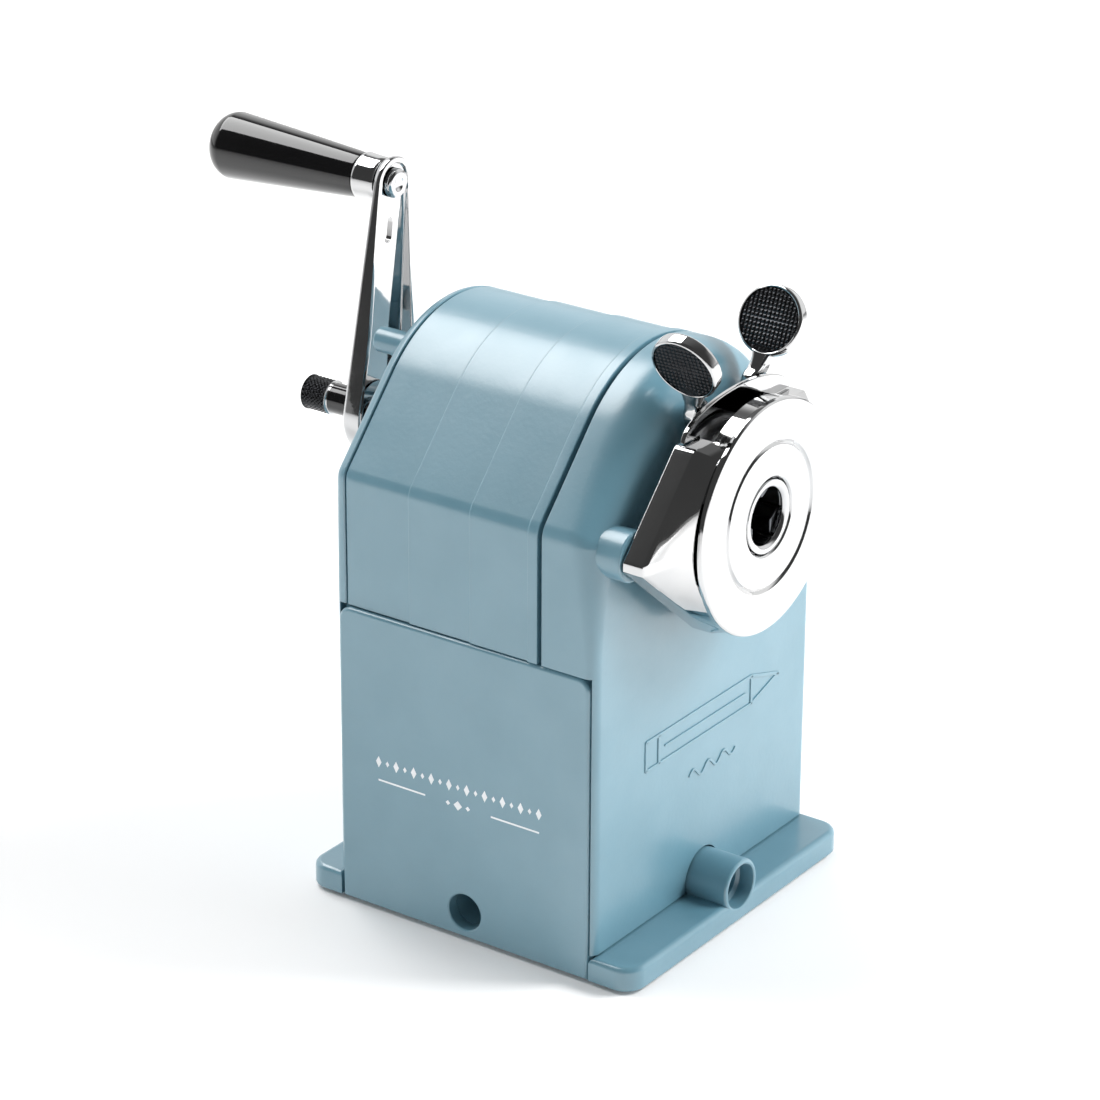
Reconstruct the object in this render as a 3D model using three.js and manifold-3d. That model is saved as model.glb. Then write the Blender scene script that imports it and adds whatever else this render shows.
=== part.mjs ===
// A hand-cranked desk pencil sharpener, in millimetres, +Z up.
// The origin is on the underside of the base, midway between the two cast walls.
// The pencil goes in at the front, along +Y; the crank is at the rear; the drawer pulls out along -X.
import * as THREE from "three";
import { mergeVertices } from "three/addons/utils/BufferGeometryUtils.js";
import Module from "manifold-3d";

const wasm = await Module();
wasm.setup();

// ---- driving dimensions ----
const GAP = 0.3; // clearance between neighbouring pieces
const BODY_W = 70; // width over the two side panels
const WALL_FRONT = 28; // front casting's outer face, ahead of the origin
const WALL_REAR = 29; // rear casting's outer face, behind the origin
const FLANGE_FRONT = 8.5; // base flange ahead of the front casting
const FLANGE_REAR = 7; // base flange behind the rear casting
const FLANGE_CORNER = 4;
const BASE_T = 4.6;
const CAST_T = 3.5; // wall of the front and rear castings
const RIM_T = 3; // rim of the castings' arches
const PANEL_T = 2.4; // side panels
const LEDGE_Z = 58.5; // top of the side panels
const KINK_Z = 84; // where the cover turns in
const AXIS_Z = 80.5; // axis of the pencil, cutter carrier and crank
const ARCH_R = 28; // round top of the castings
const SEAM_DEPTH = 11.4; // depth of the front casting's arch
const COVER_T = 0.9;
const BAND_STEP = 0.3; // each band of the cover stands proud of the one behind it
const PLINTH_H = 7.6; // foot of the castings, which the tray slides on
const PLINTH_D = 7.5;
const FOOT_R = 4.5;
const FOOT_PROUD = 0.6;
const CLAMP_R = 3.5; // clamp rod's bore, in the front tube and behind the side panel
const CLAMP_MOUTH_R = 4.2;
const CLAMP_BOSS_R = 5.2;
const TUBE_Z = 6.7;
const SIDE_HOLE_Z = 5.2;
const SCREW_R = 1.4;
const SCREW_HEAD_R = 3;
const BORE_R = 5.2; // pencil's way in
const DISC_R = 21.5;
const DISC_T = 1;
const DISC_AHEAD = 12.5; // disc's face ahead of the front casting
const CHUCK_GAP = 3.8; // chuck's rear ahead of the front casting
const CHUCK_BAND = 4.2; // depth of the chuck cover's upright band
const EAR_X = 32.7; // chuck cover's side ears
const EAR_TIP = 0.9; // half the height of an ear's tip
const SHOULDER_X = 17.3;
const SHOULDER_UP = 17.2;
const ROD_X = 28.6;
const ROD_R = 2;
const ROD_UP = 0.3; // rods' height above the axis
const ROD_INNER = 20; // rods' inner ends, behind the origin
const ROD_STUD_R = 1.1; // rods' threaded front ends
const GUIDE_BOSS_R = 4.6;
const SPRING_R = 3.1; // feed springs' coil, to the middle of the wire
const SPRING_WIRE_R = 0.45;
const SPRING_TURNS = 8;
const LEVER_ANGLE = 24; // degrees each lever leans from the vertical
const PAD_R = 6.4;
const PAD_T = 2.8;
const PAD_ORBIT = 33.2; // pad centres' distance from the axis
const LEVER_PLANE = 3.4; // pads' centre plane ahead of the front casting
const SLEEVE_R = 7;
const JOURNAL_R = 6;
const CUTTER_TILT = 11.5; // degrees between the cutter's axis and the pencil's
const CUTTER_APEX = 69.4 - WALL_FRONT; // where the two axes cross, behind the origin
const CUTTER_R = 6.4;
const CUTTER_FLUTES = 9;
const CUTTER_FROM = WALL_FRONT - 14.8; // cutter's front end ahead of the origin
const CUTTER_LENGTH = 24;
const CUTTER_SHAFT_R = 2;
const RING_TEETH = 36;
const PINION_TEETH = 11;
const RING_R = 21.6;
const GEAR_Y = 6.6 - WALL_FRONT; // middle of the gears' mesh
const CRANK_SHAFT_R = 4;
const STOP_R = 1.4;
const CRANK_REAR = 47.5; // rear face of the crank arm
const CRANK_DEPTH = 4; // depth of the arm's flanges near the hub
const CRANK_TIP_DEPTH = 1.9; // and at the tip
const CRANK_T = 1.2;
const CRANK_HUB_R = 8.4;
const CRANK_TIP_R = 4.9;
const CRANK_UP = 42.1;
const CRANK_OVER = 6.5;
const GRIP_LENGTH = 34.3;
const GRIP_SMALL_R = 4.2;
const GRIP_BIG_R = 6.35;
const FERRULE_L = 4.8;
const AXLE_R = 1.9;
const KNOB_R = 3.3;
const KNOB_L = 6;
const COLLAR_R = 2.9;
const COLLAR_L = 7.2;
const HUB_BOSS_R = 10;
const HUB_BOSS_L = 9;

// ---- worked out from them ----
const HALF_W = BODY_W / 2;
const FRONT_Y = -WALL_FRONT;
const FRONT_IN = FRONT_Y + CAST_T;
const REAR_IN = WALL_REAR - CAST_T - 1;
const SEAM_Y = FRONT_Y + SEAM_DEPTH;
const PANEL_IN = HALF_W - PANEL_T;
const PANEL_FRONT = FRONT_Y + 1.2;
const PANEL_REAR = WALL_REAR - 1.3;
const TOP = BASE_T + GAP; // where the castings stand
const DISC_Y = FRONT_Y - DISC_AHEAD;
const LEVER_Y = FRONT_Y - LEVER_PLANE;
const ROD_Z = AXIS_Z + ROD_UP;
const BOSS_INNER = FRONT_IN + 4; // inner ends of the guide bosses
const BOSS_OUTER = CHUCK_GAP - GAP; // how far the bosses stand out of the front face
const CRANK_ANGLE = Math.atan2(CRANK_OVER, CRANK_UP);
const CRANK_REACH = Math.hypot(CRANK_OVER, CRANK_UP);
const TILT = THREE.MathUtils.degToRad(CUTTER_TILT);

// ---- finishes ----
function finish(color, roughness, metalness) {
  return () => new THREE.MeshStandardMaterial({ color, roughness, metalness });
}
const paint = finish(0x8fa9b8, 0.42, 0.1);
const chrome = finish(0xd9dcde, 0.12, 1);
const steel = finish(0x9a9da0, 0.35, 1);
const bronze = finish(0xa8834a, 0.4, 1);
const hardSteel = finish(0x6f7478, 0.3, 1);
const blackGloss = finish(0x0b0b0c, 0.15, 0);
const rubber = finish(0x1c1c1d, 0.9, 0);

// ---- solids ----
function solid(geometry) {
  const plain = geometry.index ? geometry.toNonIndexed() : geometry.clone();
  plain.deleteAttribute("normal");
  plain.deleteAttribute("uv");
  const merged = mergeVertices(plain, 1e-3);
  const triVerts = new Uint32Array(merged.index.array);
  const vertProperties = merged.attributes.position.array;
  const made = new wasm.Manifold(new wasm.Mesh({ numProp: 3, vertProperties, triVerts }));
  if (made.volume() > 0) return made;
  triVerts.reverse();
  return new wasm.Manifold(new wasm.Mesh({ numProp: 3, vertProperties, triVerts }));
}

function geometryOf(manifold) {
  const { vertProperties, triVerts } = manifold.getMesh();
  const geometry = new THREE.BufferGeometry();
  geometry.setAttribute("position", new THREE.BufferAttribute(vertProperties, 3));
  geometry.setIndex(new THREE.BufferAttribute(triVerts, 1));
  geometry.computeVertexNormals();
  return geometry;
}

function join(first, ...rest) {
  return rest.reduce((sum, piece) => sum.add(piece), first);
}

function cut(body, ...holes) {
  return holes.reduce((left, hole) => left.subtract(hole), body);
}

function block(x0, x1, y0, y1, z0, z1) {
  const geometry = new THREE.BoxGeometry(x1 - x0, y1 - y0, z1 - z0);
  geometry.translate((x0 + x1) / 2, (y0 + y1) / 2, (z0 + z1) / 2);
  return solid(geometry);
}

// A cylinder or cone along Y.
function rod(r, y0, y1, x = 0, z = AXIS_Z, sides = 20, endR = r) {
  const geometry = new THREE.CylinderGeometry(endR, r, y1 - y0, sides);
  geometry.translate(x, (y0 + y1) / 2, z);
  return solid(geometry);
}

function rodX(r, x0, x1, y, z, sides = 16) {
  const geometry = new THREE.CylinderGeometry(r, r, x1 - x0, sides);
  geometry.rotateZ(Math.PI / 2);
  geometry.translate((x0 + x1) / 2, y, z);
  return solid(geometry);
}

function rodZ(r, z0, z1, x, y, sides = 12) {
  const geometry = new THREE.CylinderGeometry(r, r, z1 - z0, sides);
  geometry.rotateX(Math.PI / 2);
  geometry.translate(x, y, (z0 + z1) / 2);
  return solid(geometry);
}

// A plate whose outline is given as [x, z] points, between two places along Y.
function plateY(points, y0, y1) {
  const shape = points instanceof THREE.Shape ? points : outlineShape(points);
  const geometry = new THREE.ExtrudeGeometry(shape, { depth: y1 - y0, bevelEnabled: false, curveSegments: 8 });
  geometry.rotateX(Math.PI / 2);
  geometry.translate(0, y1, 0);
  return solid(geometry);
}

function plateZ(shape, z0, z1) {
  const geometry = new THREE.ExtrudeGeometry(shape, { depth: z1 - z0, bevelEnabled: false, curveSegments: 6 });
  geometry.translate(0, 0, z0);
  return solid(geometry);
}

// A plate whose shape lies in Y and Z, between two places along X.
function plateX(shape, x0, x1) {
  const geometry = new THREE.ExtrudeGeometry(shape, { depth: x1 - x0, bevelEnabled: false, curveSegments: 6 });
  const axes = new THREE.Matrix4().makeBasis(
    new THREE.Vector3(0, 1, 0),
    new THREE.Vector3(0, 0, 1),
    new THREE.Vector3(1, 0, 0),
  );
  geometry.applyMatrix4(axes);
  geometry.translate(x0, 0, 0);
  return solid(geometry);
}

function outlineShape(points) {
  return new THREE.Shape(points.map(([u, v]) => new THREE.Vector2(u, v)));
}

// Rings of [x, y, z] points with equal counts, skinned one to the next; a closed loft joins last to first.
function loft(rings, closed = false) {
  const count = rings[0].length;
  const positions = rings.flat(2);
  const index = [];
  const spans = closed ? rings.length : rings.length - 1;
  for (let r = 0; r < spans; r++) {
    const a = r * count;
    const b = ((r + 1) % rings.length) * count;
    for (let i = 0; i < count; i++) {
      const j = (i + 1) % count;
      index.push(a + i, a + j, b + j);
      index.push(a + i, b + j, b + i);
    }
  }
  if (!closed) {
    for (const [ring, turn] of [[0, false], [rings.length - 1, true]]) {
      const flat = rings[ring].map(([x, , z]) => new THREE.Vector2(x, z));
      for (const [a, b, c] of THREE.ShapeUtils.triangulateShape(flat, [])) {
        const base = ring * count;
        index.push(...(turn ? [base + a, base + b, base + c] : [base + c, base + b, base + a]));
      }
    }
  }
  const geometry = new THREE.BufferGeometry();
  geometry.setAttribute("position", new THREE.Float32BufferAttribute(positions, 3));
  geometry.setIndex(index);
  return solid(geometry);
}

const root = new THREE.Group();

function add(name, manifold, material) {
  const mesh = new THREE.Mesh(geometryOf(manifold), material());
  mesh.name = name;
  root.add(mesh);
  return mesh;
}

// ---- the body's arch ----
const ARCH_STEPS = 12;

// The arch's outline, from the right foot over the crown to the left foot: each point knows its
// outward normal and its rise, from 0 on the upright sides to 1 on the round top.
function archPoints() {
  const away = new THREE.Vector2(HALF_W, KINK_Z - AXIS_Z);
  const touch = away.angle() + Math.acos(ARCH_R / away.length());
  const right = [
    { x: HALF_W, z: 0, nx: 1, nz: 0, rise: 0 },
    { x: HALF_W, z: LEDGE_Z, nx: 1, nz: 0, rise: 0 },
    { x: HALF_W, z: (LEDGE_Z + 2 * KINK_Z) / 3, nx: 1, nz: 0, rise: 0.2 },
    { x: HALF_W, z: KINK_Z, nx: 1, nz: Math.tan(touch / 2), rise: 0.7 },
  ];
  for (let i = 0; i < ARCH_STEPS / 2; i++) {
    const angle = THREE.MathUtils.lerp(touch, Math.PI / 2, (2 * i) / ARCH_STEPS);
    const [nx, nz] = [Math.cos(angle), Math.sin(angle)];
    right.push({ x: ARCH_R * nx, z: AXIS_Z + ARCH_R * nz, nx, nz, rise: 1 });
  }
  const crown = { x: 0, z: AXIS_Z + ARCH_R, nx: 0, nz: 1, rise: 1 };
  const left = right.map((p) => ({ ...p, x: -p.x, nx: -p.nx })).reverse();
  return [...right, crown, ...left];
}

const ARCH = archPoints();

// One ring of the arch; the inset and the place along Y may depend on the rise.
function archRing(y, inset, bottom = TOP) {
  return ARCH.map((p) => {
    const d = typeof inset === "function" ? inset(p.rise) : inset;
    const place = typeof y === "function" ? y(p.rise) : y;
    return [p.x - p.nx * d, place, Math.max(p.z - p.nz * d, bottom)];
  });
}

// A solid arch from openY to faceY, whose edge at faceY is rounded by edge(rise).
function softArch(openY, faceY, inset, edge) {
  const inward = Math.sign(openY - faceY);
  const rounds = [0, 22.5, 45, 67.5, 90].map((degrees) => {
    const angle = THREE.MathUtils.degToRad(degrees);
    return archRing(
      (rise) => faceY + inward * edge(rise) * (1 - Math.sin(angle)),
      (rise) => inset + edge(rise) * (1 - Math.cos(angle)),
    );
  });
  return loft([archRing(openY, inset), ...rounds]);
}

// The room that the two side panels take out of a casting.
function panelPockets() {
  const z1 = LEDGE_Z + GAP;
  return [-1, 1].map((side) => {
    const [a, b] = [side * (PANEL_IN - GAP), side * (HALF_W + 1)];
    return block(Math.min(a, b), Math.max(a, b), PANEL_FRONT - GAP, PANEL_REAR + GAP, 0, z1);
  });
}

// ---- base and its feet ----
const SCREW_X = 20;
const SCREW_TOP = 12;
const SCREW_ROWS = [FRONT_Y + 3.2, WALL_REAR - 4.2];
const FOOT_X = 28.5;
const FOOT_ROWS = [FRONT_Y - 3.2, WALL_REAR + 1.8];
const CLAMP_DEPTH = 20;
const tubeFrom = FRONT_Y - FLANGE_FRONT;

function clampTube(r, from, to) {
  return rod(r, from, to, 0, TUBE_Z, 24);
}

function baseCasting() {
  const [y0, y1] = [tubeFrom, WALL_REAR + FLANGE_REAR];
  const notch = -PANEL_IN + GAP;
  const c = FLANGE_CORNER;
  const shape = new THREE.Shape();
  shape.moveTo(-HALF_W + c, y0);
  shape.lineTo(HALF_W - c, y0);
  shape.absarc(HALF_W - c, y0 + c, c, -Math.PI / 2, 0);
  shape.lineTo(HALF_W, y1 - c);
  shape.absarc(HALF_W - c, y1 - c, c, 0, Math.PI / 2);
  shape.lineTo(-HALF_W + c, y1);
  shape.absarc(-HALF_W + c, y1 - c, c, Math.PI / 2, Math.PI);
  shape.lineTo(-HALF_W, PANEL_REAR + GAP);
  shape.lineTo(notch, PANEL_REAR + GAP);
  shape.lineTo(notch, PANEL_FRONT - GAP);
  shape.lineTo(-HALF_W, PANEL_FRONT - GAP);
  shape.lineTo(-HALF_W, y0 + c);
  shape.absarc(-HALF_W + c, y0 + c, c, Math.PI, 1.5 * Math.PI);
  const sideBoss = rodX(CLAMP_BOSS_R, notch, notch + CLAMP_DEPTH, 0, SIDE_HOLE_Z, 24);
  const below = block(-HALF_W, HALF_W, y0 - 1, y1, -CLAMP_BOSS_R, 0);
  const body = join(plateZ(shape, 0, BASE_T), clampTube(CLAMP_BOSS_R, y0, y0 + CLAMP_DEPTH), sideBoss);
  const holes = [
    below,
    clampTube(CLAMP_R, y0 - 1, y0 + CLAMP_DEPTH - 2),
    clampTube(CLAMP_MOUTH_R, y0 - 1, y0 + 3),
    rodX(CLAMP_R, notch - 1, notch + CLAMP_DEPTH - 2, 0, SIDE_HOLE_Z),
  ];
  for (const side of [-1, 1]) {
    for (const y of SCREW_ROWS) {
      holes.push(rodZ(SCREW_HEAD_R + GAP, -1, 2.2, side * SCREW_X, y));
      holes.push(rodZ(SCREW_R + GAP, 2, BASE_T + 1, side * SCREW_X, y));
    }
    for (const y of FOOT_ROWS) holes.push(rodZ(FOOT_R + GAP, -1, 1.5, side * FOOT_X, y));
  }
  return cut(body, ...holes);
}

function baseScrew(x, y) {
  return join(rodZ(SCREW_HEAD_R, 0.2, 1.9, x, y), rodZ(SCREW_R, 1.5, SCREW_TOP, x, y, 12));
}

add("base_casting", baseCasting(), paint);
for (const [side, sideName] of [[-1, "left"], [1, "right"]]) {
  FOOT_ROWS.forEach((y, i) => {
    const foot = rodZ(FOOT_R, -FOOT_PROUD, 1.5 - GAP, side * FOOT_X, y, 20);
    add(`foot_${sideName}_${i ? "rear" : "front"}`, foot, rubber);
  });
  SCREW_ROWS.forEach((y, i) => {
    add(`base_screw_${sideName}_${i ? "rear" : "front"}`, baseScrew(side * SCREW_X, y), steel);
  });
}

// ---- the two castings ----
const COLLAR_OUT = RING_R + 2.6;
const FRONT_BUSH_R = 8.7;
const REAR_BUSH_R = 6.4;

function plinth(y0, y1) {
  const foot = block(-PANEL_IN + GAP, PANEL_IN - GAP, y0, y1, TOP, TOP + PLINTH_H);
  const holes = [-1, 1].map((side) => {
    const y = SCREW_ROWS[y0 < 0 ? 0 : 1];
    return rodZ(SCREW_R + GAP, TOP - 1, SCREW_TOP + GAP, side * SCREW_X, y);
  });
  return { foot, holes };
}

function frontCasting() {
  const shell = softArch(SEAM_Y, FRONT_Y, 0, (rise) => 2.2 + 6 * rise);
  const hollow = loft([
    archRing(FRONT_IN, (rise) => RIM_T + 2.5 * rise, -1),
    archRing(FRONT_IN + 3, RIM_T, -1),
    archRing(SEAM_Y + 1, RIM_T, -1),
  ]);
  const tray = block(-HALF_W - 1, 0, FRONT_IN, SEAM_Y + 1, 0, LEDGE_Z + GAP);
  const { foot, holes } = plinth(FRONT_Y + 0.5, FRONT_Y + PLINTH_D);
  let body = cut(shell, hollow, tray);
  body = join(body, foot, rod(COLLAR_OUT, FRONT_IN - 0.5, FRONT_IN + 3.4, 0, AXIS_Z, 36));
  for (const side of [-1, 1]) {
    body = join(body, rod(GUIDE_BOSS_R, FRONT_Y - BOSS_OUTER, BOSS_INNER, side * ROD_X, ROD_Z, 20));
  }
  const bores = [
    rod(RING_R + GAP, FRONT_IN, FRONT_IN + 4, 0, AXIS_Z, 36),
    rod(FRONT_BUSH_R + GAP, FRONT_Y - 1, FRONT_IN + 1),
    clampTube(CLAMP_BOSS_R + GAP, FRONT_Y - 1, FRONT_Y + CLAMP_DEPTH),
    block(-CLAMP_BOSS_R - GAP, CLAMP_BOSS_R + GAP, FRONT_Y - 1, FRONT_Y + CLAMP_DEPTH, 0, TUBE_Z),
    ...panelPockets(),
    ...holes,
  ];
  for (const side of [-1, 1]) {
    bores.push(rod(ROD_R + GAP, FRONT_Y - BOSS_OUTER - 1, BOSS_INNER + 1, side * ROD_X, ROD_Z, 16));
    bores.push(rod(SPRING_R + SPRING_WIRE_R + GAP, BOSS_INNER, SEAM_Y + 1, side * ROD_X, ROD_Z, 20));
  }
  return cut(body, ...bores);
}

const COVER_REAR = WALL_REAR - 2.7;
const REAR_INSET = 3 * BAND_STEP;
const SPIGOT_INSET = REAR_INSET + COVER_T + GAP;
const SPIGOT_FRONT = REAR_IN - 3.5;
const LUG_R = 2.4;
const LUG_X = -4;
const LUG_UP = 16.1;
const LUG_L = 12.5;
const COVER_SCREW_Y = REAR_IN - 0.8;
const COVER_SCREWS = [LEDGE_Z + 7, LEDGE_Z + 19];
const COVER_SCREW_R = 1.1;
const COVER_HEAD_R = 2.2;

// The crank's bearing boss, with the lug cast above it and the web that ties the two.
function hubBoss() {
  const boss = rod(HUB_BOSS_R + 1, WALL_REAR - 1, WALL_REAR + HUB_BOSS_L, 0, AXIS_Z, 32, HUB_BOSS_R - 1);
  const lugZ = AXIS_Z + LUG_UP;
  const lug = rod(LUG_R, WALL_REAR - 1, WALL_REAR + LUG_L, LUG_X, lugZ, 16);
  const web = new THREE.Shape();
  web.moveTo(WALL_REAR - 1, AXIS_Z + HUB_BOSS_R - 4);
  web.lineTo(WALL_REAR + HUB_BOSS_L - 1, AXIS_Z + HUB_BOSS_R - 4);
  web.lineTo(WALL_REAR + LUG_L - 1, lugZ);
  web.lineTo(WALL_REAR - 1, lugZ);
  return join(boss, lug, plateX(web, LUG_X - 1.6, LUG_X + 1.6));
}

function rearCasting() {
  const shell = softArch(COVER_REAR + GAP, WALL_REAR, REAR_INSET, (rise) => 1.6 + 0.6 * rise);
  const spigot = loft([
    archRing(SPIGOT_FRONT, SPIGOT_INSET),
    archRing(COVER_REAR + GAP + 0.1, SPIGOT_INSET),
  ]);
  const hollow = loft([
    archRing(SPIGOT_FRONT - 1, SPIGOT_INSET + RIM_T, -1),
    archRing(REAR_IN, SPIGOT_INSET + RIM_T, -1),
  ]);
  const tray = block(-HALF_W - 1, PANEL_IN - GAP, SPIGOT_FRONT - 1, REAR_IN, 0, LEDGE_Z + GAP);
  const { foot, holes } = plinth(WALL_REAR - PLINTH_D - 1, WALL_REAR - 0.5);
  const body = join(cut(join(shell, spigot), hollow, tray), foot, hubBoss());
  const screws = COVER_SCREWS.map((z) => rodX(COVER_SCREW_R + GAP, HALF_W - 7, HALF_W, COVER_SCREW_Y, z, 12));
  return cut(body, rod(REAR_BUSH_R + GAP, REAR_IN - 1, WALL_REAR + 20), ...panelPockets(), ...holes, ...screws);
}

add("front_casting", frontCasting(), paint);
add("rear_casting", rearCasting(), paint);

// ---- top cover: three bands, then a land flush with the front casting ----
const SEAM_GAP = 0.8;
const BAND_EDGES = [FRONT_Y + 14.4, FRONT_Y + 27, FRONT_Y + 40.4];

function topCover() {
  const bottom = LEDGE_Z + GAP;
  const front = SEAM_Y + SEAM_GAP;
  const inner = REAR_INSET + COVER_T;
  const outer = [archRing(front, 0, bottom)];
  BAND_EDGES.forEach((y, i) => {
    outer.push(archRing(y, i * BAND_STEP, bottom), archRing(y, (i + 1) * BAND_STEP, bottom));
  });
  outer.push(archRing(COVER_REAR, REAR_INSET, bottom));
  const body = loft(outer);
  const hollow = loft([
    archRing(front - 1, inner, bottom - 1),
    archRing(COVER_REAR + 1, inner, bottom - 1),
  ]);
  const heads = COVER_SCREWS.map((z) => rodX(COVER_HEAD_R + GAP, HALF_W - 3, HALF_W + 1, COVER_SCREW_Y, z, 16));
  return cut(body, hollow, ...heads);
}

add("top_cover", topCover(), paint);
COVER_SCREWS.forEach((z, i) => {
  const seat = HALF_W - SPIGOT_INSET + GAP / 2;
  const head = rodX(COVER_HEAD_R, seat, HALF_W - REAR_INSET, COVER_SCREW_Y, z, 16);
  const shank = rodX(COVER_SCREW_R, seat - 3, seat + 0.2, COVER_SCREW_Y, z, 10);
  add(`cover_screw_${i + 1}`, join(head, shank), steel);
});

// ---- side panel and drawer ----
const PANEL_CORNER = 2.5;
const TRAY_FLOOR = TOP + PLINTH_H + GAP;
const TRAY_TOP = LEDGE_Z - 3.4;
const TRAY_T = 1;
const RIVET_R = 1.6;
const RIVETS = [[-14, 24], [14, 24], [-14, 44], [14, 44]];

function panelShape(bottom) {
  const c = PANEL_CORNER;
  const shape = new THREE.Shape();
  shape.moveTo(PANEL_FRONT, bottom);
  shape.lineTo(PANEL_REAR, bottom);
  shape.lineTo(PANEL_REAR, LEDGE_Z - c);
  shape.absarc(PANEL_REAR - c, LEDGE_Z - c, c, 0, Math.PI / 2);
  shape.lineTo(PANEL_FRONT + c, LEDGE_Z);
  shape.absarc(PANEL_FRONT + c, LEDGE_Z - c, c, Math.PI / 2, Math.PI);
  return shape;
}

const leftPanel = plateX(panelShape(0), -HALF_W, -PANEL_IN);
const clampHole = rodX(CLAMP_R, -HALF_W - 1, -PANEL_IN + 1, 0, SIDE_HOLE_Z);
const rivetHoles = RIVETS.map(([y, z]) => rodX(RIVET_R + GAP, -PANEL_IN - 1.2, -PANEL_IN + 1, y, z, 12));
add("drawer_front", cut(leftPanel, clampHole, ...rivetHoles), paint);

function drawerTray() {
  const [x0, x1] = [-PANEL_IN + GAP, PANEL_IN - GAP - 1];
  const [y0, y1] = [FRONT_IN + 0.5, REAR_IN - 0.5];
  const outer = block(x0, x1, y0, y1, TRAY_FLOOR, TRAY_TOP);
  const inner = block(x0 + TRAY_T, x1 - TRAY_T, y0 + TRAY_T, y1 - TRAY_T, TRAY_FLOOR + TRAY_T, TRAY_TOP + 1);
  const holes = RIVETS.map(([y, z]) => rodX(RIVET_R + GAP, x0 - 1, x0 + TRAY_T + 1, y, z, 12));
  return cut(outer, inner, ...holes);
}

add("drawer_tray", drawerTray(), steel);
RIVETS.forEach(([y, z], i) => {
  const x0 = -PANEL_IN - 0.9;
  const shank = rodX(RIVET_R, x0, -PANEL_IN + GAP + TRAY_T + 0.5, y, z, 12);
  const head = rodX(RIVET_R + 1, -PANEL_IN + 2 * GAP + TRAY_T, -PANEL_IN + 2 * GAP + TRAY_T + 0.8, y, z, 12);
  add(`drawer_rivet_${i + 1}`, join(shank, head), steel);
});
add("side_panel", plateX(panelShape(TOP), PANEL_IN, HALF_W), paint);

// ---- bushes ----
const CARRIER_FRONT = FRONT_Y + 0.6;
add(
  "front_bush",
  cut(rod(FRONT_BUSH_R, FRONT_Y + 0.2, FRONT_IN + 0.2), rod(JOURNAL_R + GAP, FRONT_Y - 1, FRONT_IN + 1)),
  bronze,
);
add(
  "rear_bush",
  cut(
    rod(REAR_BUSH_R, REAR_IN + 0.3, WALL_REAR + HUB_BOSS_L),
    rod(CRANK_SHAFT_R + GAP, REAR_IN - 1, WALL_REAR + HUB_BOSS_L + 1),
  ),
  bronze,
);

// ---- gears: bevels whose teeth all point at the apex where the two axes cross ----
const GEAR_RATIO = RING_TEETH / PINION_TEETH;
const PINION_CONE = Math.atan(Math.sin(TILT) / (GEAR_RATIO - Math.cos(TILT)));
const RING_CONE = TILT + PINION_CONE;
const RING_PITCH = (CUTTER_APEX - GEAR_Y) * Math.tan(RING_CONE);
const PINION_REACH = (CUTTER_APEX - GEAR_Y) / Math.cos(TILT);
const PINION_PITCH = PINION_REACH * Math.tan(PINION_CONE);
const MODULE = (2 * RING_PITCH) / RING_TEETH;

// Corners of a toothed outline: each tooth is a flat-topped wedge.
function teeth(count, rootR, tipR, rootShare, tipShare) {
  const pitch = (2 * Math.PI) / count;
  const points = [];
  for (let i = 0; i < count; i++) {
    const middle = i * pitch;
    for (const [r, share, side] of [
      [rootR, rootShare, -1],
      [tipR, tipShare, -1],
      [tipR, tipShare, 1],
      [rootR, rootShare, 1],
    ]) {
      const angle = middle + (side * share * pitch) / 2;
      points.push([r * Math.cos(angle), r * Math.sin(angle)]);
    }
  }
  return points;
}

// A toothed cone about the Y axis through the origin, its outline given at y = 0 and shrinking
// towards an apex at +Y.
function toothedCone(points, y0, y1, apex) {
  const ring = (y) => points.map(([x, z]) => [(x * (apex - y)) / apex, y, (z * (apex - y)) / apex]);
  return loft([ring(y0), ring(y1)]);
}

function ringGear() {
  const reach = CUTTER_APEX - GEAR_Y;
  const hole = teeth(RING_TEETH, RING_PITCH - 0.85 * MODULE, RING_PITCH + 1.15 * MODULE, 0.7, 0.28);
  const toothSpace = toothedCone(hole, -4, 4, reach).translate([0, GEAR_Y, AXIS_Z]);
  return cut(rod(RING_R, FRONT_IN + GAP, GEAR_Y + 2.8, 0, AXIS_Z, 36), toothSpace);
}

add("ring_gear", ringGear(), hardSteel);

// ---- cutter head: carrier, shaft, pinion and helical cutter ----
const PINION_HALF = 1.7;
const FRONT_PLATE = [GEAR_Y + 3.9, GEAR_Y + 6.3];
const REAR_PLATE = [15.5, 18.5];
const CARRIER_R = 15.5;
const BAR_X = 10.5;

// Turns a piece made along Y through the origin onto the cutter's axis; the apex is at +Y.
function onCutterAxis(manifold) {
  return manifold.rotate([-CUTTER_TILT, 0, 0]).translate([0, CUTTER_APEX, AXIS_Z]);
}

function alongCutter(r, from, to, sides = 20) {
  const k = 1 / Math.cos(TILT);
  return onCutterAxis(rod(r, (from - CUTTER_APEX) * k, (to - CUTTER_APEX) * k, 0, 0, sides));
}

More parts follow.
